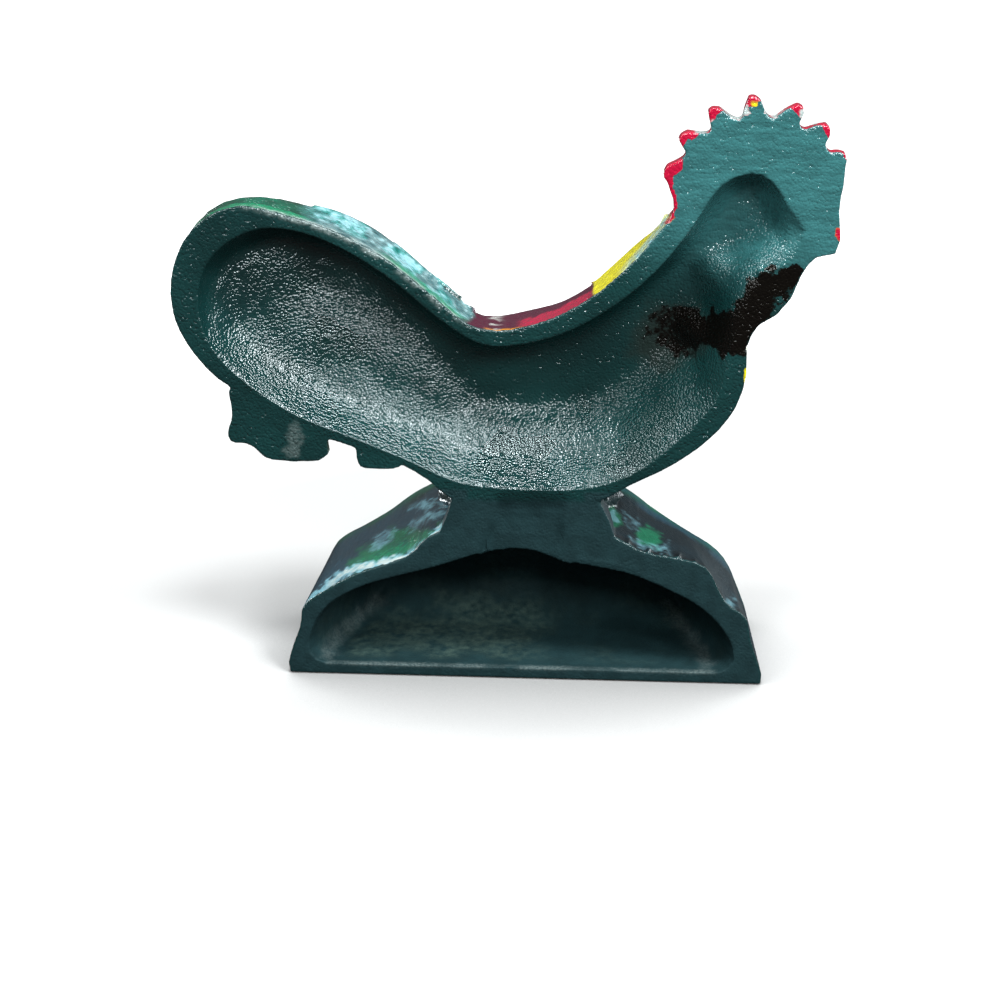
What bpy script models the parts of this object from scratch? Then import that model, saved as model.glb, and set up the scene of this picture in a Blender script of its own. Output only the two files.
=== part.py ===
"""Cast iron rooster doorstop, a single casting with an open, hollow back.

The figure is a relief made in a two-part mould: every section has a front height and a
back height over one flat drawing of the bird, seen from behind. The sections are the
casting's own features, each a closed solid, parted from its neighbours by a hairline.

Row frame: +X to the bird's head, +Z up, the flat back rim faces -Y and the relief
swells to +Y. The origin is the centre of the base's underside. Sizes are millimetres.
"""

import math

import bmesh
import bpy
import numpy as np
from mathutils import Vector
from mathutils.geometry import delaunay_2d_cdt, interpolate_bezier

MM = 0.001

# Casting
WALL = 4.2
GAP = 0.3
PAN_FULLNESS = 0.62

# Base, measured from the back rim forward and from the table up
BASE_DEPTH = 48.0
BASE_FLOOR = 3.4
BASE_NOSE = 4.5
HOLLOW_NOSE = 10.0
CROWN_WALL = 4.8
GROUND = 47.5
CAVITY_DEPTH = BASE_DEPTH - WALL
BELLY = 57.5

# Relief of the figure, as depths in front of the back rim
COMB_EDGE, COMB_SWELL, COMB_ROUND = 4.0, 2.0, 2.5
COVERT_EDGE, COVERT_SWELL, COVERT_ROUND = 3.6, 1.8, 3.0
WATTLE_EDGE, WATTLE_SWELL, WATTLE_ROUND = 6.0, 4.0, 5.0
WING_EDGE, WING_SWELL, WING_ROUND = 1.2, 2.2, 6.0
LEG_EDGE, LEG_SWELL, LEG_ROUND = 8.0, 6.0, 4.5
EYE_EDGE, EYE_SWELL, EYE_ROUND = 0.5, 1.3, 1.8
EYE_RADIUS = 2.4
EYE_PLACE = (75.0, 146.5)
HACKLE_LIFT = 1.2
SEAT_GAP = 0.5
THIGH_SWELL = 4.0
FOOT_EDGE, FOOT_SWELL, FOOT_ROUND = 0.9, 2.3, 2.2
WEB_RECESS = 1.5
WEB_FRONT = 6.5
WEB_SLOT = 9.0

# Comb: a fan of teeth on an arc, with shallower notches towards its ends
COMB_CENTRE = (62.8, 151.0)
COMB_RADIUS = 25.8
COMB_TEETH = 7
COMB_NOTCH = 5.7
COMB_NOTCH_LOSS = 2.6
COMB_LEANS = (2.5, -1.0, -4.5, 0.5, 1.8, 1.8, 1.8)
COMB_BREADTH = 0.66
COMB_FIRST = 167.7
COMB_LAST = 19.5
COMB_NAPE = [(38.4, 153.0), (40.2, 148.0), (40.4, 145.0)]
COMB_BROW = (86.6, 153.6)

# Mesh spacing
EDGE_STEP = 4.2
COMB_STEP = 1.6
EYE_STEP = 1.0
GRID_STEP = 7.5
LOOSE_STEP = 1.3
LOOSE_CLEAR = 0.7
SHELL_RINGS = (1.2, 3.6, 7.0)
PLATE_RINGS = (1.3, 4.0)
EYE_RINGS = (0.9, 1.9)
MOUND_COUNT = 64
HOLLOW_COUNT = 52
CUT_PAST = 2.0

# The figure's outline on the back plane (x, z), from the nape round by the tail
FIGURE_TOP = [
    (39.5, 142.3), (30.0, 130.6), (20.0, 121.2), (10.0, 114.8), (0.0, 111.0), (-9.0, 109.5),
    (-17.0, 111.6), (-27.0, 119.8), (-40.0, 130.2), (-52.0, 136.9), (-66.0, 141.7),
    (-80.0, 144.6), (-90.0, 141.2), (-97.0, 134.0), (-101.0, 123.0), (-100.6, 111.5),
    (-95.5, 101.0), (-88.6, 93.3),
]
FIGURE_BOTTOM = [
    (-81.5, 88.8), (-71.5, 81.8), (-62.0, 77.2), (-54.0, 74.8), (-45.0, 71.6), (-36.5, 68.5),
    (-28.0, BELLY + 5.7), (-22.5, BELLY + 0.9), (-12.0, BELLY), (0.0, BELLY), (12.0, BELLY),
    (22.5, BELLY + 1.1), (30.0, BELLY + 5.6), (42.0, 69.6), (53.0, 78.3), (60.0, 88.0), (62.6, 98.0),
]
FIGURE_FRONT = [
    (62.4, 106.0), (65.2, 112.4), (70.2, 115.6), (74.0, 120.5), (76.4, 127.0), (80.2, 132.3),
    (85.4, 133.4), (86.6, 137.5), (85.8, 145.0),
]
COMB_FOOT = [
    (86.0, 150.0), (79.5, 156.2), (70.0, 160.6), (60.0, 160.9), (51.8, 156.6), (45.0, 149.0),
]

# The hollow's rim on the back plane, from the top of the neck round by the breast
PAN_RIM = [
    (61.0, 155.8), (67.0, 153.6), (71.5, 147.0), (77.0, 139.5), (74.5, 132.8), (67.0, 126.8),
    (62.0, 119.0), (59.3, 111.0), (57.0, 100.0), (54.0, 89.5), (44.0, 77.5),
    (31.0, BELLY + 9.3), (16.0, BELLY + 4.3), (-3.0, BELLY + 3.9), (-20.0, BELLY + 5.8),
    (-33.0, BELLY + 11.7), (-50.0, 76.4), (-66.0, 82.8), (-80.0, 92.0),
    (-90.0, 102.6), (-93.6, 114.5), (-91.0, 127.0), (-82.0, 135.6), (-71.0, 138.5),
    (-56.0, 134.8), (-40.0, 125.4), (-25.0, 113.0), (-14.0, 105.9), (-5.0, 105.2),
    (10.0, 109.0), (25.0, 117.8), (37.0, 128.8), (46.0, 141.0), (53.0, 152.0),
]

# Lines along which neighbouring sections meet, and limits beyond the whole figure
FAR_LEFT = -115.0
FAR_RIGHT = 95.0
FAR_TOP = 170.0
TAIL_LINE = [(-11.5, 125.0), (-14.5, 110.0), (-20.5, 92.0), (-24.5, 74.0), (-24.6, 50.0)]
CAPE_LINE = [
    (12.0, 133.0), (17.6, 122.5), (23.0, 113.0), (32.0, 105.2), (43.0, 100.8), (54.0, 99.2),
    (70.0, 99.0),
]
FACE_LINE = [(40.0, 158.0), (48.5, 148.5), (54.0, 141.0), (58.5, 134.5), (64.0, 128.5)]
THROAT_LINE = [(64.0, 128.5), (65.6, 122.0), (64.8, 115.5), (60.5, 106.5)]
JAW_LINE = [(64.0, 128.5), (70.0, 129.3), (76.0, 130.6), (82.0, 131.0), (92.0, 128.0)]

# Flat feathers under the tail, the thigh and the wing
COVERT_HEM = [
    (-57.6, 71.2), (-60.5, 69.1), (-65.0, 68.7), (-72.0, 68.8), (-76.5, 69.8), (-79.2, 72.6),
    (-82.0, 74.0), (-86.2, 74.5), (-86.9, 77.5), (-85.5, 82.5), (-86.2, 90.0),
]
THIGH_HEM = [(-37.0, 67.5), (-39.4, 66.9), (-44.0, 66.8), (-48.4, 67.5), (-49.4, 70.2)]
WING = [
    (40.5, 90.0), (35.0, 97.5), (24.0, 101.5), (8.0, 100.6), (-10.0, 97.0), (-28.0, 97.0),
    (-46.0, 99.5), (-38.0, 91.0), (-24.0, 83.5), (-6.0, 78.0), (14.0, 75.8), (31.0, 79.5),
]

# Legs, standing on the mound, and the web between them
LEG_TOP = BELLY - GAP
LEG_FOOT = GROUND + GAP
LEG_INNER = 11.6
LEFT_LEG_OUTER = [(-25.2, LEG_FOOT), (-23.6, LEG_FOOT + 3.7), (-21.8, LEG_TOP)]
RIGHT_LEG_OUTER = [(26.0, LEG_FOOT), (24.6, LEG_FOOT + 4.2), (22.0, LEG_TOP)]
WEB_SIDE = LEG_INNER - GAP

# Thighs, as centre and half width and height of the swelling over each leg
THIGHS = [((-17.5, BELLY + 5.0), (11.5, 9.5)), ((18.5, BELLY + 5.0), (11.5, 9.5))]

# A foot seen from above, as (x from the leg's middle, distance in front of the back rim)
FOOT = [
    (2.6, 15.2), (4.6, 20.0), (10.6, 29.0), (9.4, 31.6), (6.6, 30.6), (2.6, 24.6), (2.4, 33.0),
    (0.6, 37.8), (-0.8, 37.8), (-2.4, 33.0), (-2.6, 24.6), (-6.6, 30.6), (-9.4, 31.6),
    (-10.6, 29.0), (-4.6, 20.0), (-2.6, 15.2),
]
LEFT_FOOT_X, RIGHT_FOOT_X = -17.8, 18.4

# The mound's cross-section at the back rim and at its front
MOUND_BACK = [
    (-71.6, 0.0), (-72.0, 3.0), (-70.2, 9.5), (-67.8, 16.0), (-67.0, 22.0), (-60.5, 27.2),
    (-50.0, 33.4), (-40.0, 37.0), (-34.0, 40.0), (-30.0, 44.6), (-26.0, 47.0),
    (-21.0, 47.5), (0.0, 47.5), (21.0, 47.5), (26.0, 47.0), (31.0, 44.2), (36.0, 42.0),
    (47.0, 40.2), (53.5, 37.8), (57.0, 31.5), (60.0, 26.0), (65.8, 22.0), (67.2, 15.5),
    (69.6, 8.0), (71.4, 2.8), (71.2, 0.0),
]
MOUND_FRONT = [
    (-69.4, 0.0), (-69.4, 3.0), (-68.0, 8.5), (-66.2, 14.5), (-64.4, 20.0), (-61.4, 25.6),
    (-53.7, 30.4), (-45.0, 36.0), (-38.0, 41.6), (-32.0, 45.2), (-26.5, 47.0),
    (-21.0, 47.5), (0.0, 47.5), (21.0, 47.5), (26.5, 46.8), (32.0, 43.6), (37.0, 39.6),
    (44.0, 34.6), (51.0, 30.1), (58.2, 25.4), (62.2, 20.5), (64.8, 14.5), (67.2, 8.5),
    (68.8, 4.0), (69.0, 1.6), (69.0, 0.0),
]

# The base's hollow at the back rim and at its far end
CAVITY_BACK = [
    (-61.0, 3.4), (-65.4, 5.2), (-66.3, 10.0), (-63.6, 17.8), (-58.5, 23.9),
    (-50.0, 28.9), (-40.0, 32.2), (-28.0, 35.6), (-17.0, 39.6), (-9.0, 42.2), (-3.0, 42.7),
    (4.0, 41.4), (12.0, 38.8), (22.0, 37.0), (31.0, 35.2), (40.0, 31.6), (50.0, 26.6),
    (57.0, 21.0), (62.0, 14.0), (63.4, 9.0), (62.6, 5.2), (58.5, 3.4),
]
CAVITY_FRONT = [
    (-50.0, 3.4), (-51.6, 4.8), (-52.6, 8.5), (-52.8, 13.0), (-51.8, 17.8),
    (-48.6, 23.4), (-41.5, 29.0), (-32.0, 35.6), (-22.0, 39.8), (-11.0, 42.2), (0.0, 42.7),
    (8.0, 42.2), (15.5, 41.0), (23.0, 38.6), (30.0, 34.8), (37.0, 30.6), (44.0, 25.6),
    (48.2, 19.6), (50.0, 13.6), (50.0, 8.5), (49.2, 4.8), (47.8, 3.4),
]

# Relief of the shell: place, depth of its front edge, swell above that, width of the
# rounding from the edge, run of the hollow's wall, and how softly the wall leaves the rim
STATIONS = [
    ((-98.0, 118.0), 9.5, 9.0, 20.0, 9.0, 0.2),
    ((-82.0, 142.0), 8.5, 9.0, 20.0, 8.0, 0.2),
    ((-66.0, 140.0), 16.5, 6.0, 18.0, 7.0, 0.0),
    ((-48.0, 132.0), 20.5, 4.5, 18.0, 7.0, 0.0),
    ((-32.0, 121.0), 18.0, 5.5, 18.0, 6.5, 0.0),
    ((-18.0, 110.0), 12.5, 9.0, 16.0, 6.0, 0.0),
    ((-1.0, 109.0), 17.0, 6.0, 18.0, 6.0, 0.0),
    ((13.0, 115.0), 13.0, 9.0, 16.0, 6.0, 0.0),
    ((30.0, 127.0), 17.0, 5.5, 16.0, 6.0, 0.0),
    ((40.0, 140.0), 6.5, 9.0, 14.0, 6.0, 0.0),
    ((60.0, 154.0), 9.0, 8.0, 12.0, 7.0, 0.2),
    ((84.0, 140.0), 7.5, 7.0, 14.0, 18.0, 1.0),
    ((66.0, 122.0), 9.0, 8.0, 14.0, 16.0, 1.0),
    ((60.0, 96.0), 13.0, 9.0, 20.0, 17.0, 0.8),
    ((34.0, 72.0), 14.5, 9.0, 20.0, 18.0, 0.5),
    ((-10.0, 64.0), 13.0, 10.0, 20.0, 17.0, 0.1),
    ((-45.0, 76.0), 11.0, 10.0, 20.0, 13.0, 0.0),
    ((-82.0, 92.0), 10.0, 9.0, 20.0, 11.0, 0.0),
]
STATION_REACH = 9.0

PAINTS = {
    "comb": ((0.60, 0.012, 0.045), 0.35),
    "head": ((0.62, 0.03, 0.05), 0.35),
    "wattle": ((0.60, 0.012, 0.045), 0.35),
    "eye": ((0.02, 0.018, 0.016), 0.25),
    "neck_hackle": ((0.75, 0.55, 0.02), 0.35),
    "body_shell": ((0.40, 0.01, 0.08), 0.35),
    "wing": ((0.42, 0.02, 0.14), 0.35),
    "tail_shell": ((0.02, 0.28, 0.24), 0.35),
    "under_tail_feathers": ((0.015, 0.10, 0.095), 0.45),
    "thigh_feathers": ((0.02, 0.13, 0.12), 0.45),
    "left_leg": ((0.62, 0.36, 0.03), 0.45),
    "right_leg": ((0.62, 0.36, 0.03), 0.45),
    "left_foot": ((0.62, 0.36, 0.03), 0.45),
    "right_foot": ((0.62, 0.36, 0.03), 0.45),
    "leg_web": ((0.012, 0.055, 0.055), 0.7),
    "base_mound": ((0.012, 0.085, 0.09), 0.45),
}


# Curves

def smooth_curve(points, step, closed=False):
    """A smooth curve through the points, as an array of points about a step apart."""
    knots = [Vector(p) for p in points]
    last = len(knots) - 1

    def tangent(i):
        before = knots[i - 1] if closed or i > 0 else knots[i]
        after = knots[(i + 1) % (last + 1)] if closed or i < last else knots[i]
        return (after - before).normalized()

    samples = []
    for i in range(last + 1 if closed else last):
        j = (i + 1) % (last + 1)
        reach = (knots[j] - knots[i]).length / 3.0
        count = max(1, round(3.0 * reach / step))
        leaving = knots[i] + tangent(i) * reach
        arriving = knots[j] - tangent(j) * reach
        samples += interpolate_bezier(knots[i], leaving, arriving, knots[j], count + 1)[:-1]
    if not closed:
        samples.append(knots[-1])
    return np.array([(p[0], p[1]) for p in samples])


def normals(line, closed):
    """Unit normals to the left of a line's direction of travel."""
    if closed:
        along = np.roll(line, -1, axis=0) - np.roll(line, 1, axis=0)
    else:
        along = np.gradient(line, axis=0)
    along /= np.linalg.norm(along, axis=1)[:, None]
    return np.stack([-along[:, 1], along[:, 0]], axis=1)


def parted(points, side):
    """A meeting line moved half the gap to its left (side 1) or right (side -1)."""
    line = smooth_curve(points, EDGE_STEP)
    return line + normals(line, False) * side * GAP / 2.0


def even(line, count):
    """The line resampled at evenly spaced places."""
    steps = np.linalg.norm(np.diff(line, axis=0), axis=1)
    travelled = np.concatenate([[0.0], np.cumsum(steps)])
    places = np.linspace(0.0, travelled[-1], count)
    return np.stack([np.interp(places, travelled, line[:, k]) for k in (0, 1)], axis=1)


def distance(points, loop, closed=True):
    """Distance from each point to the nearest place on a line."""
    ends = np.roll(loop, -1, axis=0) if closed else loop[1:]
    starts = loop if closed else loop[:-1]
    run = ends - starts
    offset = points[:, None, :] - starts[None, :, :]
    share = (offset * run).sum(axis=2) / np.maximum((run * run).sum(axis=1), 1e-9)
    nearest = offset - np.clip(share, 0.0, 1.0)[:, :, None] * run
    return np.sqrt((nearest ** 2).sum(axis=2)).min(axis=1)


def inside(points, loop):
    """Which points lie inside a closed loop, by counting its crossings to the right."""
    x, z = points[:, 0][:, None], points[:, 1][:, None]
    x1, z1 = loop[:, 0], loop[:, 1]
    x2, z2 = np.roll(x1, -1), np.roll(z1, -1)
    rise = np.where(np.abs(z2 - z1) < 1e-9, 1e-9, z2 - z1)
    crosses = ((z1 > z) != (z2 > z)) & (x < x1 + (z - z1) / rise * (x2 - x1))
    return crosses.sum(axis=1) % 2 == 1


def beside_figure(start, end):
    """The figure's edge from near one place to near another, moved out by the gap."""
    moved = FIGURE - normals(FIGURE, True) * GAP
    first, last = (np.linalg.norm(FIGURE - place, axis=1).argmin() for place in (start, end))
    last += len(FIGURE) if last < first else 0
    return np.take(moved, range(first, last + 1), axis=0, mode="wrap")


def rings(loop, offsets):
    """Points on lines parallel to a loop, inside it, at the given distances."""
    found = []
    for offset in offsets:
        for side in (1.0, -1.0):
            moved = loop + normals(loop, True) * offset * side
            keep = inside(moved, loop) & (distance(moved, loop) > 0.96 * offset)
            found.append(moved[keep])
    return np.concatenate(found)


# Relief

FIGURE = smooth_curve(FIGURE_TOP + FIGURE_BOTTOM + FIGURE_FRONT + COMB_FOOT, EDGE_STEP, True)
PAN = smooth_curve(PAN_RIM, EDGE_STEP, True)


def quarter_round(share):
    """A quarter circle's rise from 0 to 1 as share goes from 0 to 1."""
    return np.sqrt(1.0 - (1.0 - np.clip(share, 0.0, 1.0)) ** 2)


def station_values(points):
    """The stations' five sizes at each point, blended by nearness."""
    places = np.array([s[0] for s in STATIONS])
    values = np.array([s[1:] for s in STATIONS])
    apart = ((points[:, None, :] - places) ** 2).sum(axis=2) + STATION_REACH ** 2
    weight = apart ** -2.0
    return (weight @ values / weight.sum(axis=1)[:, None]).T


def plain_front(points):
    """Depth of the bird's outer skin in front of the back rim, without its thighs."""
    edge, swell, rounding, _, _ = station_values(points)
    return edge + swell * quarter_round(distance(points, FIGURE) / rounding)


def shell_front(points):
    """Depth of the bird's outer skin in front of the back rim."""
    thighs = 0.0
    for centre, half in THIGHS:
        apart = (((points - centre) / half) ** 2).sum(axis=1)
        thighs = thighs + THIGH_SWELL * np.clip(1.0 - apart, 0.0, 1.0)
    return plain_front(points) + thighs


def shell_back(points):
    """Depth of the hollow behind the skin: nothing on the flat rim round it."""
    _, _, _, run, softness = station_values(points)
    along = np.clip(distance(points, PAN) / run, 0.0, 1.0)
    crisp = quarter_round(along) ** (2.0 * PAN_FULLNESS)
    soft = along * along * (3.0 - 2.0 * along)
    share = crisp + (soft - crisp) * softness
    hollow = (plain_front(points) - WALL) * share
    return np.where(inside(points, PAN), hollow, 0.0)


def swelling(outline, edge, swell, rounding):
    """A front that rises from a plain edge depth by a rounded swell."""
    def front(points):
        return edge + swell * quarter_round(distance(points, outline) / rounding)
    return front


def lifted(surface, height):
    """A surface moved forward by a height."""
    def moved(points):
        return surface(points) + height
    return moved


def level(height):
    """A flat surface at one depth."""
    def flat(points):
        return np.full(len(points), float(height))
    return flat


# Solids

def new_object(name, mesh, collection):
    """An object with its own paint, linked to the doorstop's collection."""
    colour, roughness = PAINTS[name]
    paint = bpy.data.materials.new(name + "_paint")
    paint.use_nodes = True
    shader = paint.node_tree.nodes["Principled BSDF"]
    shader.inputs["Base Color"].default_value = (*colour, 1.0)
    shader.inputs["Roughness"].default_value = roughness
    shader.inputs["Metallic"].default_value = 0.0
    mesh.materials.append(paint)
    section = bpy.data.objects.new(name, mesh)
    collection.objects.link(section)
    return section


def to_world(x, depth, z):
    """A place in the row frame, in metres, from the drawing's sizes."""
    return Vector((x, depth - BASE_DEPTH / 2.0, z)) * MM


def on_ground(x, height, depth):
    """A place over the mound's top, from a drawing seen from above."""
    return to_world(x, depth, GROUND + GAP + height)


def finish_mesh(bm, name):
    """The working mesh as a closed mesh that faces out, shaded smooth up to its edges."""
    bmesh.ops.remove_doubles(bm, verts=bm.verts, dist=0.00001)
    bmesh.ops.recalc_face_normals(bm, faces=bm.faces)
    mesh = bpy.data.meshes.new(name)
    bm.to_mesh(mesh)
    bm.free()
    mesh.shade_smooth()
    mesh.set_sharp_from_angle(angle=math.radians(40.0))
    return mesh


def relief_section(name, outline, region, front, back, collection, creases=(), offsets=(),
                   placed=to_world):
    """A section of the relief: its drawing is triangulated, then pulled forward.

    The drawing is the part of the outline inside the region. Its edges and creases are
    kept as edges, and the points between them lie on parallel lines and on a grid.
    """
    fixed = [outline, region, *creases]
    low, high = outline.min(axis=0), outline.max(axis=0)
    columns = np.arange(low[0], high[0], GRID_STEP)
    rows = np.arange(low[1], high[1], GRID_STEP)
    grid = np.array([(x, z) for x in columns for z in rows])
    near = [rings(outline, offsets)] if offsets else []
    near += [rings(crease, offsets) for crease in creases]
    loose = np.concatenate(near) if near else np.zeros((0, 2))
    if len(loose):
        away = np.sqrt(((grid[:, None, :] - loose) ** 2).sum(axis=2)).min(axis=1)
        grid = grid[away > 0.6 * GRID_STEP]
    loose = np.concatenate([loose, grid])
    loose = loose[inside(loose, outline) & inside(loose, region)]
    for line in fixed:
        loose = loose[distance(loose, line) > LOOSE_CLEAR]
    loose = thinned(loose, LOOSE_STEP)

    places, edges, loops = [], [], []
    for line in fixed:
        first = len(places)
        places += [Vector(p) for p in line]
        loops.append(list(range(first, len(places))))
    for crease in loops[2:]:
        edges += list(zip(crease, crease[1:] + crease[:1]))
    places += [Vector(p) for p in loose]
    found = delaunay_2d_cdt(places, edges, loops[:2], 1, 0.02)
    drawn, triangles, owners = found[0], found[2], found[5]

    bm = bmesh.new()
    corners = [bm.verts.new((p[0], 0.0, p[1])) for p in drawn]
    for triangle, owner in zip(triangles, owners):
        if 0 in owner and 1 in owner:
            bm.faces.new([corners[i] for i in triangle])
    bmesh.ops.delete(bm, geom=[v for v in bm.verts if not v.link_faces], context="VERTS")
    flat = list(bm.verts)
    places = np.array([(v.co.x, v.co.z) for v in flat])
    pulled = bmesh.ops.extrude_face_region(bm, geom=bm.faces[:], use_keep_orig=True)
    ahead = [g for g in pulled["geom"] if isinstance(g, bmesh.types.BMVert)]
    ahead_places = np.array([(v.co.x, v.co.z) for v in ahead])
    for verts, spots, surface in ((flat, places, back), (ahead, ahead_places, front)):
        for vert, (x, z), depth in zip(verts, spots, surface(spots)):
            vert.co = placed(x, depth, z)
    return new_object(name, finish_mesh(bm, name), collection)


def thinned(points, spacing):
    """The points without those that lie closer than the spacing to an earlier one."""
    kept = []
    for point in points:
        if all(math.dist(point, other) > spacing for other in kept):
            kept.append(point)
    return np.array(kept)


def whole(outline):
    """A region that holds all of an outline."""
    (x1, z1), (x2, z2) = outline.min(axis=0) - 5.0, outline.max(axis=0) + 5.0
    return np.array([(x1, z1), (x2, z1), (x2, z2), (x1, z2)])


def joined(*lines):
    """One closed outline, run anticlockwise, from lines and corner points in turn."""
    loop = np.concatenate([np.atleast_2d(np.array(line, dtype=float)) for line in lines])
    after = np.roll(loop, -1, axis=0)
    area = (loop[:, 0] * after[:, 1] - after[:, 0] * loop[:, 1]).sum()
    return loop if area > 0.0 else loop[::-1]


# The bird

def comb_outline():
    """Teeth on an arc, closed along the top of the head."""
    pitch = (COMB_FIRST - COMB_LAST) / (COMB_TEETH - 1)
    step = math.degrees(COMB_STEP / COMB_RADIUS)
    angles = np.arange(COMB_LAST - 0.2 * pitch, COMB_FIRST + 0.2 * pitch, step)
    wave = np.cos(2.0 * math.pi * (angles - COMB_LAST) / pitch)
    wave = np.clip(0.5 + COMB_BREADTH * wave, 0.0, 1.0)
    along = 2.0 * (angles - COMB_LAST) / (COMB_FIRST - COMB_LAST) - 1.0
    notch = COMB_NOTCH - COMB_NOTCH_LOSS * along ** 2
    radius = COMB_RADIUS - notch * (1.0 - wave)
    tooth = np.round((angles - COMB_LAST) / pitch).astype(int)
    turn = np.radians(angles + np.array(COMB_LEANS)[tooth] * wave)
    fan = np.stack([COMB_CENTRE[0] + radius * np.cos(turn),
                    COMB_CENTRE[1] + radius * np.sin(turn)], axis=1)
    foot = beside_figure(COMB_FOOT[0], FIGURE_TOP[0])[::-1]
    return joined(COMB_BROW, fan, COMB_NAPE, foot)


def build_comb(collection):
    outline = comb_outline()
    front = swelling(outline, COMB_EDGE, COMB_SWELL, COMB_ROUND)
    relief_section("comb", outline, whole(outline), front, level(0.0), collection,
                   offsets=PLATE_RINGS)


def build_shell(collection):
    """Head, wattle, hackle, body and tail, which share one hollow."""
    face_right, face_left = parted(FACE_LINE, 1), parted(FACE_LINE, -1)
    throat_right, throat_left = parted(THROAT_LINE, 1), parted(THROAT_LINE, -1)
    jaw_up, jaw_down = parted(JAW_LINE, 1), parted(JAW_LINE, -1)
    cape_up, cape_down = parted(CAPE_LINE, 1), parted(CAPE_LINE, -1)
    tail_right, tail_left = parted(TAIL_LINE, 1), parted(TAIL_LINE, -1)
    above, below = np.add(JAW_LINE[0], (0.0, GAP)), np.add(JAW_LINE[0], (GAP, -GAP))
    regions = {
        "head": joined(face_right[:-1], above, jaw_up[1:], (FAR_RIGHT, FAR_TOP),
                       (FACE_LINE[0][0], FAR_TOP)),
        "wattle": joined(below, throat_right[1:], (FAR_RIGHT, THROAT_LINE[-1][1]),
                         jaw_down[:0:-1]),
        "neck_hackle": joined(cape_up, throat_left[::-1], face_left[::-1],
                              (CAPE_LINE[0][0], FACE_LINE[0][1])),
        "body_shell": joined(tail_right, (CAPE_LINE[-1][0], TAIL_LINE[-1][1]), cape_down[::-1]),
        "tail_shell": joined(tail_left, (FAR_LEFT, TAIL_LINE[-1][1]), (FAR_LEFT, FAR_TOP),
                             (TAIL_LINE[0][0], FAR_TOP)),
    }
    fronts = {
        "wattle": swelling(FIGURE, WATTLE_EDGE, WATTLE_SWELL, WATTLE_ROUND),
        "neck_hackle": lifted(shell_front, HACKLE_LIFT),
    }
    for name, region in regions.items():
        front = fronts.get(name, shell_front)
        back = level(0.0) if name == "wattle" else shell_back
        relief_section(name, FIGURE, region, front, back, collection,
                       creases=(PAN,), offsets=SHELL_RINGS)


def laid_on_skin(name, outline, edge, swell, rounding, offsets, collection):
    """Relief of its own that sits on the bird's outer skin."""
    seat, top = lifted(shell_front, SEAT_GAP), swelling(outline, edge, swell, rounding)
    relief_section(name, outline, whole(outline), lambda p: seat(p) + top(p), seat,
                   collection, offsets=offsets)


def build_feathers(collection):
    """Flat feathers below the tail, and the wing on the flank."""
    for name, hem in (("under_tail_feathers", COVERT_HEM), ("thigh_feathers", THIGH_HEM)):
        top = beside_figure(hem[-1], hem[0])
        outline = joined(top, smooth_curve(hem, COMB_STEP))
        front = swelling(outline, COVERT_EDGE, COVERT_SWELL, COVERT_ROUND)
        relief_section(name, outline, whole(outline), front, level(0.0), collection,
                       offsets=PLATE_RINGS[:1])
    laid_on_skin("wing", joined(smooth_curve(WING, EDGE_STEP, True)), WING_EDGE, WING_SWELL,
                 WING_ROUND, PLATE_RINGS, collection)


def build_eye(collection):
    """A low bead on the cheek."""
    turns = np.arange(0.0, 2.0 * math.pi, EYE_STEP / EYE_RADIUS)
    outline = EYE_PLACE + EYE_RADIUS * np.stack([np.cos(turns), np.sin(turns)], axis=1)
    laid_on_skin("eye", outline, EYE_EDGE, EYE_SWELL, EYE_ROUND, EYE_RINGS, collection)


def build_legs(collection):
    """Two legs and the recessed web between them."""
    for name, outer, inner in (("left_leg", LEFT_LEG_OUTER, -LEG_INNER),
                               ("right_leg", RIGHT_LEG_OUTER, LEG_INNER)):
        outline = joined(smooth_curve(outer, EDGE_STEP), (inner, LEG_TOP), (inner, LEG_FOOT))
        front = swelling(outline, LEG_EDGE, LEG_SWELL, LEG_ROUND)
        relief_section(name, outline, whole(outline), front, level(0.0), collection,
                       offsets=PLATE_RINGS)
    outline = joined((-WEB_SIDE, LEG_FOOT), (WEB_SIDE, LEG_FOOT), (WEB_SIDE, LEG_TOP),
                     (-WEB_SIDE, LEG_TOP))
    relief_section("leg_web", outline, whole(outline), level(WEB_FRONT), level(WEB_RECESS),
                   collection)


def build_feet(collection):
    """Three toes in front of each leg, lying on the mound."""
    for name, middle in (("left_foot", LEFT_FOOT_X), ("right_foot", RIGHT_FOOT_X)):
        drawn = np.array(FOOT) + (middle, 0.0)
        outline = joined(smooth_curve(drawn, COMB_STEP, True))
        front = swelling(outline, FOOT_EDGE, FOOT_SWELL, FOOT_ROUND)
        relief_section(name, outline, whole(outline), front, level(0.0), collection,
                       offsets=PLATE_RINGS[:1], placed=on_ground)


# The base

def lofted(rings_at, name):
    """A closed solid through outlines of equal length, each at its own depth."""
    bm = bmesh.new()
    loops = [[bm.verts.new(to_world(x, depth, z)) for x, z in ring] for depth, ring in rings_at]
    for near, far in zip(loops, loops[1:]):
        edges = []
        for loop in (near, far):
            for a, b in zip(loop, loop[1:] + loop[:1]):
                edges.append(bm.edges.get((a, b)) or bm.edges.new((a, b)))
        bmesh.ops.bridge_loops(bm, edges=edges)
    for loop, (_, ring) in ((loops[0], rings_at[0]), (loops[-1], rings_at[-1])):
        places = [Vector(p) for p in ring]
        found = delaunay_2d_cdt(places, [], [list(range(len(places)))], 1, MM * MM)
        for triangle in found[2]:
            bm.faces.new([loop[found[3][i][0]] for i in triangle])
    return finish_mesh(bm, name)


def fitted(points, floor, crown, count):
    """An outline stretched in height to run from its floor to its crown."""
    drawn = np.array(points)
    low, high = drawn[:, 1].min(), drawn[:, 1].max()
    drawn[:, 1] = floor + (drawn[:, 1] - low) * (crown - floor) / (high - low)
    return joined(even(smooth_curve(drawn, EDGE_STEP / 2.0), count))


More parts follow.
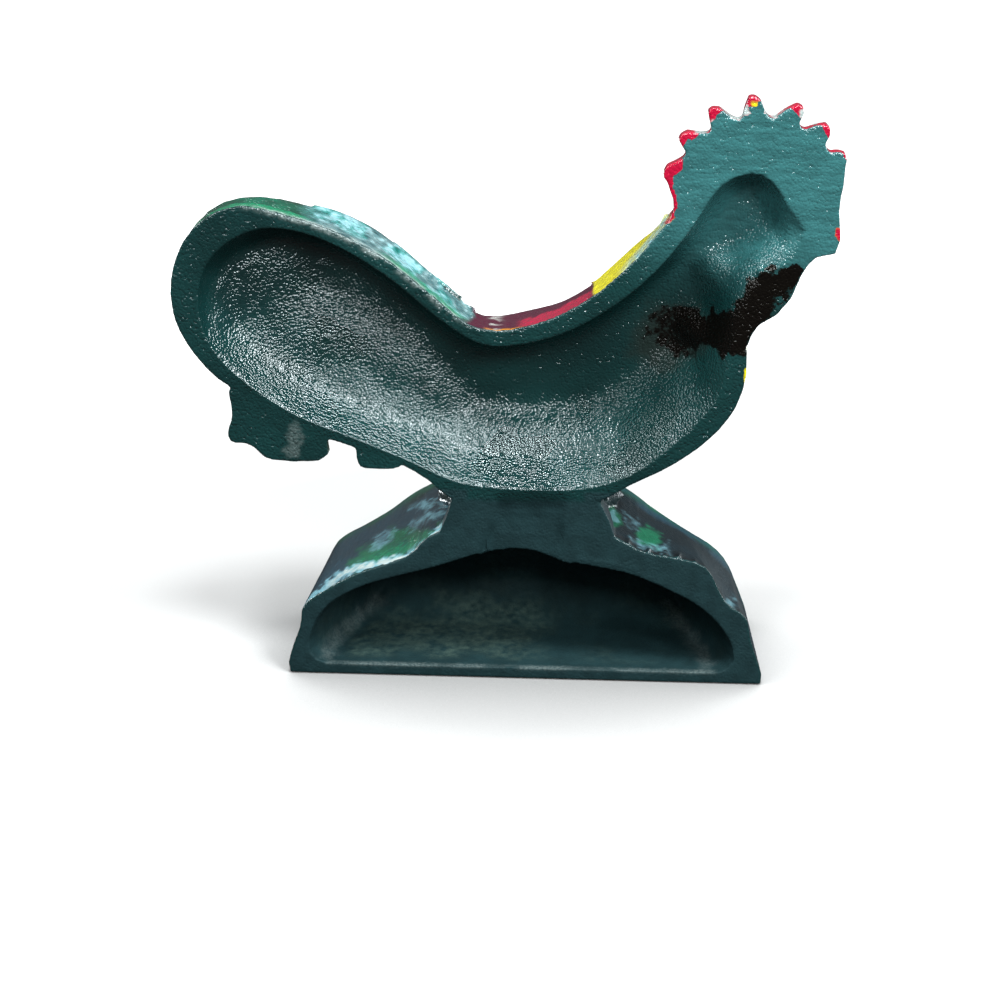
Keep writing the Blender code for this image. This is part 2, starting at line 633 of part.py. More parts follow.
def mound_rings(back, front, floor, crown, reach, count, nose, middle):
    """Outlines from the back rim to the front, drawn in to a middle round the front edge."""
    near, far = fitted(back, floor, crown, count), fitted(front, floor, crown, count)
    centre = np.array([0.0, middle])
    ring_list = []
    for share in (0.0, 0.34, 0.67, 1.0):
        ring_list.append((share * (reach - nose), near + (far - near) * share))
    for turn in (30.0, 60.0, 90.0):
        angle = math.radians(turn)
        drawn = nose * (1.0 - math.cos(angle))
        size = np.abs(far - centre).max(axis=0)
        ring = centre + (far - centre) * (1.0 - drawn / size)
        ring_list.append((reach - nose * (1.0 - math.sin(angle)), ring))
    return ring_list


def build_base(collection, cutters):
    """The mound with its D-shaped hollow, open at the back, and a shallow leg recess."""
    outer = mound_rings(MOUND_BACK, MOUND_FRONT, 0.0, GROUND, BASE_DEPTH, MOUND_COUNT,
                        BASE_NOSE, 0.0)
    base = new_object("base_mound", lofted(outer, "base_mound"), collection)

    crown = GROUND - CROWN_WALL
    inner = mound_rings(CAVITY_BACK, CAVITY_FRONT, BASE_FLOOR, crown, CAVITY_DEPTH,
                        HOLLOW_COUNT, HOLLOW_NOSE, (BASE_FLOOR + crown) / 2.0)
    inner[0] = (-CUT_PAST, inner[0][1])
    hollow = bpy.data.objects.new("hollow", lofted(inner, "hollow"))

    low, high = GROUND - WEB_SLOT, GROUND + CUT_PAST
    slot = [(-WEB_SIDE, low), (WEB_SIDE, low), (WEB_SIDE, high), (-WEB_SIDE, high)]
    recess = bpy.data.objects.new(
        "recess", lofted([(-CUT_PAST, slot), (WEB_RECESS, slot)], "recess"))

    for cutter in (hollow, recess):
        cutters.objects.link(cutter)
        cutter.hide_render = True
        cutter.display_type = "WIRE"
        cut = base.modifiers.new(cutter.name, "BOOLEAN")
        cut.operation = "DIFFERENCE"
        cut.solver = "EXACT"
        cut.object = cutter


def new_collection(name):
    collection = bpy.data.collections.new(name)
    bpy.context.scene.collection.children.link(collection)
    return collection


def build_doorstop():
    for old in list(bpy.data.objects):
        bpy.data.objects.remove(old)
    sections = new_collection("rooster_doorstop")
    cutters = new_collection("cutters")
    build_comb(sections)
    build_shell(sections)
    build_eye(sections)
    build_feathers(sections)
    build_legs(sections)
    build_feet(sections)
    build_base(sections, cutters)


build_doorstop()
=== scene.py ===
"""Looks of a hollow-backed cast iron rooster doorstop, laid out as a Blender add-on.

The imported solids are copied, the relief of the painted front is laid on the copies, and all
of it is fused into one iron skin. The skin is painted and parted into one piece for each
solid. Lengths in the helpers are millimetres: x and z on the flat back, and depth in front
of it.
"""

import math

import bpy
import numpy as np
from bpy.props import FloatProperty, FloatVectorProperty, IntProperty, PointerProperty
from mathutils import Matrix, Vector
from mathutils.bvhtree import BVHTree


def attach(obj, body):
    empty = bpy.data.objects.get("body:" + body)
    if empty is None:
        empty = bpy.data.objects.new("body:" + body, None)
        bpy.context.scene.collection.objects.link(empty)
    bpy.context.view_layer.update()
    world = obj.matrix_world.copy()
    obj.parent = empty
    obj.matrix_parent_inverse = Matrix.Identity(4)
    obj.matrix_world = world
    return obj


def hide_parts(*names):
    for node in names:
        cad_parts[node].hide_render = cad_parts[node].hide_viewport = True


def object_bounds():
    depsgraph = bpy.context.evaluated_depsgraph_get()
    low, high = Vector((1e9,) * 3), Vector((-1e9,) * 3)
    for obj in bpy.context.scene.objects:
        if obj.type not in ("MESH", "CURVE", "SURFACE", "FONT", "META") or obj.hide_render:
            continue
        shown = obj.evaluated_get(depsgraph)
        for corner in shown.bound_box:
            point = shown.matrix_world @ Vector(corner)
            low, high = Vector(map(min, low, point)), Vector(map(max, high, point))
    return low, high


bl_info = {
    "name": "Rooster doorstop",
    "version": (1, 0, 0),
    "blender": (4, 5, 0),
    "location": "3D View > Sidebar > Doorstop",
    "description": "Cast skin, relief, enamel and stage of a cast iron rooster doorstop",
    "category": "Object",
}

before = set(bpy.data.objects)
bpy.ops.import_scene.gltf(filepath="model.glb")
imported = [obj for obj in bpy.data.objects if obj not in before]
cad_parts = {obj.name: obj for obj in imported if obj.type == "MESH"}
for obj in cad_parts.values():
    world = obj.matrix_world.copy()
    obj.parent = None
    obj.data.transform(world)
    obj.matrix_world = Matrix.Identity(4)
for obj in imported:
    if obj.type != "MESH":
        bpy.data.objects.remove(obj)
CAD_BOX = [list(corner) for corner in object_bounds()]

MM = 0.001
BACK_Y = CAD_BOX[0][1]
CAST = "casting"

# Sides that relief is laid from; the last is the side that the photograph shows
FRONT, TOP = Vector((0, 1, 0)), Vector((0, 0, 1))
SEEN = Vector((0.058, -1.0, 0.405))
FAR = 200.0

# Below this height the skin's faces are merged, down to a share of the whole skin's faces,
# and the factor keeps every face above it
BASE_TOP, THINNED, ONLY_BASE = 45.0 * MM, 0.77, 1000.0

# The lamps' slightly cool white
DAYLIGHT = (0.92, 0.98, 1.0)

# Share of the white background that the dark gloss mirrors: more of it greys the dark coats
GLOSS_SHARE = 0.03


def linear(code):
    """An sRGB hex colour as linear red, green and blue."""
    parts = [int(code[i:i + 2], 16) / 255.0 for i in (1, 3, 5)]
    return tuple(c / 12.92 if c <= 0.04045 else ((c + 0.055) / 1.055) ** 2.4 for c in parts)


# Settings

def length_setting(label, text, default, least):
    """A length, with its default and its least value in mm."""
    return FloatProperty(
        name=label, description=text, default=default * MM, min=least * MM, unit="LENGTH")


class CastingSizes(bpy.types.PropertyGroup):
    """Sizes of the cast skin."""
    cell: length_setting("Skin cell", "Size of one face of the fused skin", 0.5, 0.3)
    rough_cell: length_setting("Draft cell", "Size of one face while trying things", 0.8, 0.3)
    overlap: length_setting("Overlap", "Growth of each solid that closes the hairlines", 0.22, 0.15)
    relief: length_setting("Relief", "Height of a feather's tip over the skin", 1.35, 0.2)
    recess: length_setting("Web recess", "Depth of the recess between the legs' backs", 1.4, 0.0)
    sand_size: length_setting("Sand lumps", "Spacing of the sand mould's lumps", 2.0, 0.5)
    sand_depth: length_setting("Sand depth", "Depth of the sand mould's lumps", 0.11, 0.0)
    seed: IntProperty(
        name="Seed", description="Start of the random draws", default=11, min=0)


def colour_setting(label, text, code):
    """A colour, with its default as an sRGB hex code."""
    return FloatVectorProperty(
        name=label, description=text, subtype="COLOR", size=3, min=0.0, max=1.0,
        default=linear(code))


class EnamelColours(bpy.types.PropertyGroup):
    """Colours of the painted coats."""
    back_dark: colour_setting("Back, thick", "Dark green of the body's back", "#143c3b")
    back_light: colour_setting("Back, thin", "Lighter teal of the head's back", "#3a7374")
    base_dark: colour_setting("Base's back", "Dull dark green of the base and web", "#20373a")
    dust: colour_setting("Dust", "Grey-green dust inside the base", "#55695f")
    stain: colour_setting("Stain", "Brown-black stain on the throat's back", "#19140f")
    umber: colour_setting("Umber", "Thin edge of the stain", "#2c2a22")
    scuff: colour_setting("Scuff", "Pale grey of worn edges", "#c3d0cc")
    crimson: colour_setting("Crimson", "Comb, face and wattle", "#c80c38")
    maroon: colour_setting("Maroon", "Breast and saddle", "#540c2c")
    rose: colour_setting("Rose", "Lower edge of the saddle", "#b8143f")
    scarlet: colour_setting("Scarlet", "Feather tips", "#c8102a")
    yellow: colour_setting("Yellow", "Neck feathers", "#fff022")
    orange: colour_setting("Orange", "Legs, beak and feather ends", "#e08a10")
    emerald: colour_setting("Emerald", "Tail feathers", "#0f8f63")
    bottle: colour_setting("Bottle green", "Shaded tail feathers", "#0b4a38")
    turquoise: colour_setting("Turquoise", "Saddle end of the tail", "#2fb3b4")
    ice: colour_setting("Ice blue", "Light strokes", "#9ad8e8")
    navy: colour_setting("Navy", "Shaded ground", "#10262f")
    slate: colour_setting("Slate", "Blue-grey ground", "#1f4353")
    grass: colour_setting("Grass green", "Ground", "#187a55")
    white: colour_setting("White", "Eye and light strokes", "#e8ece4")
    black: colour_setting("Black", "Pupil and claws", "#0e0d0c")


def sizes():
    return bpy.context.scene.doorstop_sizes


def coat(name):
    return np.array(getattr(bpy.context.scene.doorstop_colours, name))


# Working with objects

def only(*objects):
    """Deselects everything, then selects the objects and makes the last one active."""
    bpy.ops.object.select_all(action="DESELECT")
    for obj in objects:
        obj.select_set(True)
    bpy.context.view_layer.objects.active = objects[-1]


def finish_with(obj, kind, **settings):
    """Adds a modifier with its settings and applies it."""
    only(obj)
    modifier = obj.modifiers.new(kind.title(), kind)
    for key, value in settings.items():
        setattr(modifier, key, value)
    bpy.ops.object.modifier_apply(modifier=modifier.name)


def join_into(name, objects):
    """Joins objects into one of that name, with what already has the name."""
    known = bpy.data.objects.get(name)
    members = [o for o in objects if o is not known] + ([known] if known else [])
    only(*members)
    bpy.ops.object.join()
    joined = bpy.context.view_layer.objects.active
    joined.name = joined.data.name = name
    return joined


def solids_tree(*names):
    """A search tree of the named solids' faces, and which solid each face is from."""
    corners, faces, owners = [], [], []
    for name in names:
        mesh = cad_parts[name].data
        first = len(corners)
        corners += [v.co.copy() for v in mesh.vertices]
        faces += [[first + i for i in face.vertices] for face in mesh.polygons]
        owners += [name] * len(mesh.polygons)
    return BVHTree.FromPolygons(corners, faces), owners


def place(x, depth, z):
    """A point in metres from millimetres on the flat back and in front of it."""
    return Vector((x * MM, BACK_Y + depth * MM, z * MM))


# Relief laid on the iron

def bezier(points, t):
    """A point of the cubic curve with four control points."""
    weights = ((1 - t) ** 3, 3 * t * (1 - t) ** 2, 3 * t * t * (1 - t), t ** 3)
    return sum(w * np.array(p, dtype=float) for w, p in zip(weights, points))


def through(line):
    """Control points of the cubic curve that passes through four points."""
    a, b, c, d = (np.array(p, dtype=float) for p in line)
    return [a, (-5 * a + 18 * b - 9 * c + 2 * d) / 6, (2 * a - 9 * b + 18 * c - 5 * d) / 6, d]


def leaf(u, v):
    """A feather: rounded tip, raised towards it, with a shaft."""
    along = 0.05 + 0.92 * u
    rise = (0.15 + 0.85 * u) * (1.0 - 0.55 * v * v) + (0.16 if abs(v) < 0.2 else 0.0)
    return min(1.0, 3.2 * (1.0 - along)) ** 0.55 * min(1.0, 0.75 + along), rise


def ribbon(u, v):
    """A long plume: even, then drawn to a point, with a shaft."""
    return min(1.0, 0.55 + 2.0 * u, 2.4 * (1.02 - u)) ** 0.6, \
        (1.0 - 0.62 * v * v) + (0.14 if abs(v) < 0.2 else 0.0)


def blade(u, v):
    """A grass blade: widest at its foot."""
    return (1.03 - u) ** 0.6, (1.0 - 0.7 * v * v) * (0.5 + 0.5 * u)


def roll(u, v):
    """A rounded bar with round ends, such as a toe or a ridge."""
    end = max(0.0, 1.0 - (2.0 * u - 1.0) ** 4) ** 0.5
    return 0.35 + 0.65 * end, max(0.0, 1.0 - v * v) ** 0.5 * end


class Relief:
    """Strips shaped onto the solids, then thickened and joined to the casting."""

    def __init__(self, label, *names, along=6, across=4):
        self.label = label
        self.tree = solids_tree(*names)[0]
        bpy.ops.object.select_all(action="DESELECT")
        bpy.ops.mesh.primitive_grid_add(x_subdivisions=along, y_subdivisions=across, size=1.0)
        self.model = bpy.context.view_layer.objects.active
        self.strips = []

    def resting(self, a, b, side, last):
        """Where a place of the drawing lies on the solids, seen from one side."""
        way = side.normalized()
        start = place(a, b, FAR) if side is TOP else place(a, 0, b) + way * FAR * MM
        hit = self.tree.ray_cast(start, -way)[0]
        if hit is None:
            aim = start - way * (start - last).dot(way) if last is not None else start
            hit = self.tree.find_nearest(aim)[0]
        return hit

    def lay(self, line, width, height, form, side=FRONT):
        """Lays one strip along a curve of four points. Width and height in mm."""
        strip = self.model.copy()
        strip.data = self.model.data.copy()
        bpy.context.scene.collection.objects.link(strip)
        last = None
        for vert in strip.data.vertices:
            u, v = vert.co.x + 0.5, vert.co.y * 2.0
            share, rise = form(u, v)
            ahead = bezier(line, min(1.0, u + 0.02)) - bezier(line, max(0.0, u - 0.02))
            ahead /= max(np.linalg.norm(ahead), 1e-6)
            beside = np.array([ahead[1], -ahead[0]]) * (1.0 if side is FRONT else -1.0)
            a, b = bezier(line, u) + beside * v * share * width / 2.0
            last = self.resting(a, b, side, last)
            vert.co = last + side.normalized() * rise * height * MM
        self.strips.append(strip)

    def patch(self, one, other, rows, columns, form, height, width=1.25, reach=1.9):
        """Rows of overlapping strips between two curves, the last row laid first."""
        for row in reversed(range(rows)):
            start = row / rows
            end = min(1.0, start + reach / rows)
            for k in range(columns + row % 2):
                s = (k + (0.5 if row % 2 == 0 else 0.0)) / columns
                line = [bezier(one, t) * (1 - s) + bezier(other, t) * s
                        for t in np.linspace(start, end, 4)]
                middle = (start + end) / 2.0
                span = np.linalg.norm(bezier(one, middle) - bezier(other, middle))
                self.lay(through(line), width * span / columns, height, form)

    def plumes(self, one, other, count, form, height, width=1.2):
        """Long strips side by side between two curves."""
        span = np.linalg.norm(bezier(one, 0.5) - bezier(other, 0.5)) / (count - 1)
        for k in range(count):
            s = k / (count - 1)
            line = [np.array(a) * (1 - s) + np.array(b) * s for a, b in zip(one, other)]
            self.lay(line, width * span, height, form)

    def join(self, thickness=1.6):
        """Thickens the strips into the iron and joins them to the casting."""
        bpy.data.objects.remove(self.model)
        strips = join_into(self.label, self.strips)
        finish_with(strips, "SOLIDIFY", thickness=thickness * MM, offset=-1.0)
        join_into(CAST, [strips])


class DOORSTOP_OT_blank(bpy.types.Operator):
    """Copies the solids, grows them over their hairlines and joins them"""
    bl_idname = "doorstop.blank"
    bl_label = "Casting blank"

    def execute(self, context):
        copies = []
        for name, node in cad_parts.items():
            copy = bpy.data.objects.new(name + "_blank", node.data.copy())
            context.scene.collection.objects.link(copy)
            only(copy)
            bpy.ops.object.mode_set(mode="EDIT")
            bpy.ops.mesh.select_all(action="SELECT")
            bpy.ops.mesh.remove_doubles(threshold=0.01 * MM)
            bpy.ops.object.mode_set(mode="OBJECT")
            finish_with(copy, "DISPLACE", strength=sizes().overlap, mid_level=0.0)
            copies.append(copy)
        join_into(CAST, copies)
        return {"FINISHED"}


class DOORSTOP_OT_tail_plumes(bpy.types.Operator):
    """Lays the arched sickles, the short coverts and the lobes along the tail's top"""
    bl_idname = "doorstop.tail_plumes"
    bl_label = "Tail plumes"

    def execute(self, context):
        height = sizes().relief / MM
        tail = Relief("tail_plumes", "tail_shell", along=16, across=6)
        tail.patch([(-26, 82), (-38, 90), (-54, 92), (-66, 86)],
                   [(-25, 64), (-36, 70), (-50, 76), (-64, 80)], 4, 3, leaf, height)
        tail.plumes([(-20, 108), (-52, 146), (-108, 160), (-93, 98)],
                    [(-24, 88), (-44, 106), (-74, 114), (-72, 88)], 6, ribbon, height * 1.15)
        tail.join()
        crest = Relief("tail_crest", "tail_shell", along=10, across=8)
        for line, width, lift in (
                ([(-42, 12), (-58, 12), (-74, 12), (-92, 10)], 13.0, 1.0),
                ([(-26, 15), (-38, 17), (-50, 18), (-62, 18)], 12.0, 1.3),
                ([(-16, 12), (-24, 14), (-31, 16), (-39, 17)], 10.0, 1.3),
                ([(-12, 11), (-17, 11), (-23, 12), (-28, 13)], 9.0, 1.0)):
            crest.lay(line, width, lift, leaf, TOP)
        crest.join()
        return {"FINISHED"}


class DOORSTOP_OT_body_feathers(bpy.types.Operator):
    """Lays the scalloped feathers of breast, thighs and saddle, and the wing's quills"""
    bl_idname = "doorstop.body_feathers"
    bl_label = "Body feathers"

    def execute(self, context):
        height = sizes().relief / MM
        body = Relief("body_feathers", "body_shell")
        body.patch([(22, 106), (20, 92), (17, 80), (12, 66)],
                   [(60, 99), (60, 88), (52, 76), (36, 68)], 6, 6, leaf, height * 0.85)
        body.patch([(-22, 84), (-24, 76), (-24, 68), (-22, 61)],
                   [(14, 82), (14, 74), (12, 68), (10, 61)], 4, 5, leaf, height * 0.8)
        body.patch([(-12, 108), (-15, 106), (-17, 103), (-19, 100)],
                   [(19, 115), (15, 109), (8, 104), (0, 101)], 2, 6, ribbon, height * 0.95,
                   reach=1.5)
        body.join()
        wing = Relief("wing_feathers", "wing", along=10, across=4)
        wing.plumes([(14, 100), (-6, 97.5), (-28, 96.5), (-45, 99)],
                    [(10, 78), (-8, 79), (-26, 86), (-42, 95.5)], 6, ribbon, height * 0.8)
        wing.patch([(39, 91.5), (30, 98), (18, 100.5), (2, 99)],
                   [(37, 88.5), (30, 81), (18, 77.5), (4, 78)], 4, 4, leaf, height * 0.9)
        wing.join()
        return {"FINISHED"}


class DOORSTOP_OT_head_relief(bpy.types.Operator):
    """Lays the comb's ridges, the face, the beak and the neck feathers"""
    bl_idname = "doorstop.head_relief"
    bl_label = "Head relief"

    def execute(self, context):
        height = sizes().relief / MM
        neck = Relief("neck_feathers", "neck_hackle", along=8, across=4)
        neck.patch([(43, 149), (37, 136), (27, 126), (16, 119)],
                   [(64, 130), (65, 120), (63, 110), (59, 101)], 6, 6, leaf, height, reach=2.2)
        neck.join()
        comb = Relief("comb_ridges", "comb", "head", along=8, across=6)
        for angle in (21.0, 43.5, 64.5, 94.0, 120.0, 144.5, 169.0):
            ray = np.array((math.cos(math.radians(angle)), math.sin(math.radians(angle))))
            comb.lay([np.array((62.8, 151.0)) + ray * r for r in (8.0, 13.0, 18.0, 24.0)],
                     4.4, height * 0.9, roll)
        comb.join()
        face = Relief("face_relief", "head", along=8, across=6)
        for line, width, lift in (
                ([(68, 147), (69, 154), (81, 154), (82, 147)], 3.6, 0.8),
                ([(68, 145), (70, 139), (79, 138), (82, 145)], 3.6, 0.8),
                ([(76, 142), (80, 142.5), (84, 141.5), (86.0, 138.0)], 4.6, 1.2),
                ([(75, 136.5), (79, 136.5), (83, 136), (85.2, 135.2)], 3.4, 0.9),
                ([(64, 141), (62, 138), (62, 134), (65, 131)], 5.5, 1.0)):
            face.lay(line, width, height * lift, roll)
        face.join()
        wattle = Relief("wattle_relief", "wattle", along=8, across=6)
        wattle.lay([(70, 128), (73, 124), (73, 119), (70, 115.5)], 5.0, height * 0.9, roll)
        wattle.join()
        return {"FINISHED"}


# The grass on the mound's face: its rows, the blades in a row, half its width and the rows'
# spacing in mm
GRASS_ROWS, ROW_BLADES, GRASS_HALF, ROW_STEP = 4, 30, 66.0, 10.5
# The grass on the mound's top: where each stand starts and ends, and its blades; then where
# the blades of each of its rows start and end, as depths
TOP_STANDS = ((-64.5, -27.0, 17), (29.0, 60.0, 12))
TOP_ROWS = ((46, 32), (34, 18), (21, 8))
# Tufts on the top's back edge: place, width and height
EDGE_TUFTS = ((30.6, 2.6, 1.2), (36.6, 3.4, 1.9), (41.4, 2.6, 1.2), (45.4, 3.6, 1.8),
              (50.2, 2.4, 1.0))
# Where the legs stand, the depth that their toes part at, and each toe's turn and reach
LEGS_X, TOES_DEPTH, TOES = (-17.8, 18.4), 18.5, ((-0.42, 13.0), (0.0, 17.0), (0.42, 13.0))


def face_grass(grass, draw, height):
    """Blades in uneven rows up the mound's face."""
    for row in range(GRASS_ROWS):
        for k in range(ROW_BLADES):
            x = -GRASS_HALF + 2 * GRASS_HALF * (k + draw.uniform(0.0, 0.9)) / ROW_BLADES
            z = 1.5 + row * ROW_STEP + draw.uniform(-1.5, 1.5)
            # None past the face's sloped sides or over its top
            if abs(x) > 68 - 1.05 * z or z > 36:
                continue
            lean, length = draw.uniform(-3.0, 3.0), draw.uniform(8.0, 12.0)
            grass.lay([(x, z), (x + lean * 0.2, z + length * 0.35),
                       (x + lean * 0.6, z + length * 0.7), (x + lean, z + length)],
                      draw.uniform(2.6, 4.0), height * draw.uniform(0.5, 0.8), blade)


def top_grass(grass, draw, height):
    """Low blades combed from the mound's face to its back, and tufts on its back edge."""
    for low, high, count in TOP_STANDS:
        for k in range(count):
            x = low + (high - low) * (k + 0.5) / count
            for start, end in TOP_ROWS:
                shift = draw.uniform(-1.2, 1.2)
                grass.lay([(x + shift, start), (x + shift, start * 0.7 + end * 0.3),
                           (x, start * 0.3 + end * 0.7), (x, end + draw.uniform(0.0, 0.8))],
                          draw.uniform(2.4, 3.2), height * draw.uniform(0.2, 0.4), blade, TOP)
    for x, width, lift in EDGE_TUFTS:
        grass.lay([(x, 6.5), (x, 4.5), (x, 2.6), (x, 0.6)], width, lift, blade, TOP)


def foot_scales(feet):
    """Scales across each toe, and up the front of each leg."""
    for x in LEGS_X:
        for turn, reach in TOES:
            way = np.array((math.sin(turn), math.cos(turn)))
            for step in (0.35, 0.6, 0.85):
                spot = np.array((x, TOES_DEPTH)) + way * reach * step
                feet.lay([spot - way * 1.5, spot - way * 0.5, spot + way * 0.5,
                          spot + way * 1.5], 3.0, 0.5, roll, TOP)
        for z in (49.0, 51.5, 54.0, 56.2):
            feet.lay([(x - 3.5, z), (x - 1.0, z - 0.6), (x + 1.0, z - 0.6), (x + 3.5, z)],
                     1.8, 0.5, roll)


class DOORSTOP_OT_ground_relief(bpy.types.Operator):
    """Lays the grass of the mound, and the scales of the feet and legs"""
    bl_idname = "doorstop.ground_relief"
    bl_label = "Ground relief"

    def execute(self, context):
        height = sizes().relief / MM
        draw = np.random.default_rng(sizes().seed)
        grass = Relief("grass", "base_mound", along=4, across=2)
        face_grass(grass, draw, height)
        top_grass(grass, draw, height)
        grass.join()
        feet = Relief("foot_scales", "left_foot", "right_foot", "left_leg", "right_leg",
                      along=6, across=6)
        foot_scales(feet)
        feet.join(1.0)
        return {"FINISHED"}


# Marks in the hollows, where the photographed side shows them: each a curve, with its width
# and height in mm
FINS = (
    ([(-84.0, 125.7), (-82.4, 128.6), (-79.6, 130.8), (-75.7, 132.0)], 1.3, 0.55),
    ([(-67.1, 132.4), (-62.5, 131.6), (-57.5, 130.3), (-52.5, 128.7)], 1.1, 0.45),
    ([(-39.3, 118.8), (-36.4, 116.6), (-33.5, 114.2), (-30.2, 111.0)], 1.2, 0.5),
    ([(-59.2, 109.5), (-58.2, 109.2), (-57.2, 108.8), (-56.0, 108.3)], 1.6, 0.6),
)
RUNS = (
    ([(-9.6, 69.5), (-7.0, 64.8), (-2.8, 67.6), (1.2, 65.2)], 1.3, 0.55),
    ([(0.6, 65.6), (3.6, 63.4), (7.4, 64.4), (12.2, 60.6)], 1.3, 0.55),
    ([(-8.6, 63.6), (-4.6, 62.2), (-1.0, 63.4), (4.6, 61.6)], 1.4, 0.6),
    ([(-13.6, 84.4), (-12.2, 79.0), (-11.4, 74.0), (-10.2, 68.6)], 2.2, 0.45),
    ([(-8.0, 75.8), (-5.6, 73.4), (-2.4, 74.4), (1.0, 72.2)], 1.2, 0.5),
    ([(-3.6, 70.6), (-0.6, 69.0), (2.4, 70.2), (5.4, 67.6)], 1.2, 0.5),
)

# The edge of the body's hollow, from the head down the breast, along the belly and round the
# tail; its lower part; the web's lower edge between the legs; and a pad's edge beside it
PAN_RIM = [
    (61, 155.8), (67, 153.6), (71.5, 147), (77, 139.5), (74.5, 132.8), (67, 126.8), (62, 119),
    (59.3, 111), (57, 100), (54, 89.5), (44, 77.5), (31, 66.8), (16, 61.8), (-3, 61.4),
    (-20, 63.3), (-33, 69.2), (-50, 76.4), (-66, 82.8), (-80, 92), (-90, 102.6), (-93.6, 114.5),
    (-91, 127), (-82, 135.6), (-71, 138.5), (-56, 134.8), (-40, 125.4), (-25, 113),
    (-14, 105.9), (-5, 105.2), (10, 109), (25, 117.8), (37, 128.8), (46, 141), (53, 152)]
LOWER_RIM = PAN_RIM[9:21]
WEB_ARCH = [(-13.5, 39.7), (-9.5, 41.0), (-3.6, 41.8), (2.4, 41.4), (7.3, 39.5), (13.5, 37.8)]
PAD_EDGE = [(12.8, 39.9), (19.8, 38.9), (28.8, 38.0), (35.9, 36.3)]
WEB_WIDTH, WEB_TOP = 27.0, 61.6

# The pan's lower wall: rise per mm from its rim, then past its crease, and its most lift in mm
SLOPE, PAST_CREASE, MOST_LIFT = 0.95, 0.42, 4.5
# The hollow curve of the base's floor: depth and height of its centre, and its radius, in mm
FLOOR_CURVE = (28.0, 21.4, 18.0)


class DOORSTOP_OT_hollow_marks(bpy.types.Operator):
    """Lays the fine fins and paint runs in the hollows, and fills the web's corners"""
    bl_idname = "doorstop.hollow_marks"
    bl_label = "Marks in the hollows"

    def execute(self, context):
        marks = Relief("hollow_marks", "tail_shell", "body_shell", along=12, across=4)
        for line, width, height in (*FINS, *RUNS):
            marks.lay(line, width, height, roll, SEEN)
        marks.join(0.8)
        pad = Relief("pad_edge", "base_mound", along=12, across=4)
        pad.lay(PAD_EDGE, 1.2, 0.4, roll, SEEN)
        pad.join(0.8)
        bpy.ops.object.select_all(action="DESELECT")
        bpy.ops.mesh.primitive_grid_add(x_subdivisions=60, y_subdivisions=20, size=1.0)
        filler = context.view_layer.objects.active
        for vert in filler.data.vertices:
            x = vert.co.x * WEB_WIDTH
            low = np.interp(x, *zip(*WEB_ARCH))
            z = low + (WEB_TOP - low) * (vert.co.y + 0.5)
            # The filler is flush at its top, where it meets the body
            depth = web_depth(np.array([x]), np.array([z]))[0] * ramp(58.5, 52.0, z)
            vert.co = place(x, depth, z)
        finish_with(filler, "SOLIDIFY", thickness=1.6 * MM, offset=-1.0)
        join_into(CAST, [filler])
        return {"FINISHED"}


def web_depth(x, z):
    """Depth of the soft-edged recess between the backs of the legs, in mm."""
    # Its two sides, which follow the legs' inner edges
    left = np.interp(z, (40.8, 46.2, 51.6, 58.0), (-13.4, -11.4, -9.5, -9.5))
    right = np.interp(z, (40.9, 46.8, 52.1, 58.0), (9.3, 11.2, 11.1, 13.0))
    across = ramp(-1.5, 2.2, x - left) * ramp(-1.5, 2.8, right - x)
    return sizes().recess / MM * across * ramp(61.5, 54.0, z)


def recess_web(s, back):
    """Sinks the back of the web between the legs to its recess."""
    web = back & (s.normal[:, 1] < -0.4) & (np.abs(s.x) < 20.0) & (s.depth < 4.0) & (s.z > 38.0)
    wanted = np.where(web, web_depth(s.x, s.z), 0.0)
    s.points[:, 1] += np.clip(wanted - s.depth, 0.0, None) * (wanted > 0.01)


def soften_pan(s, back):
    """Lifts the pan's lower wall to a soft slope, and smooths the pan around its marks."""
    plan = np.stack([s.x, s.z], axis=1)
    held = from_line(plan, PAN_RIM, True)[1] & back & (s.depth > 0.1)
    run = from_line(plan, LOWER_RIM)[0]
    crease = np.interp(s.x, (-30.0, -8.0), (9.5, 24.0))
    slope = SLOPE * np.minimum(run, crease) + PAST_CREASE * np.maximum(run - crease, 0.0)
    share = held * ramp(56.0, 40.0, s.x) * ramp(-94.0, -88.0, s.x)
    lift = MOST_LIFT * np.tanh(np.clip(s.depth - slope, 0.0, None) / MOST_LIFT)
    s.points[:, 1] -= s.spread(lift * share, 24)
    marks = np.min([from_line(s.seen, line)[0] for line, _, _ in (*FINS, *RUNS)], axis=0)
    calm = held * ramp(0.8, 3.0, s.depth) * ramp(1.0, 3.0, marks)
    for k in range(3):
        s.points[:, k] += (s.spread(s.points[:, k], 50) - s.points[:, k]) * calm


def round_floor(s):
    """Runs the base's floor up its front wall in a wide hollow curve."""
    depth, height, radius = FLOOR_CURVE
    off = np.stack([s.depth - depth, s.z - height], axis=1)
    reach = np.linalg.norm(off, axis=1)
    corner = (off[:, 0] > 0.0) & (off[:, 1] < 0.0) & (reach > radius) & (s.depth < 47.0) \
        & (s.z > 1.5) & (s.normal[:, 2] > -0.2) & (s.normal[:, 1] < 0.3)
    pull = (radius / np.maximum(reach, 1.0) - 1.0) * corner * ramp(60.0, 52.0, np.abs(s.x))
    s.points[:, 1:] += off * pull[:, None]


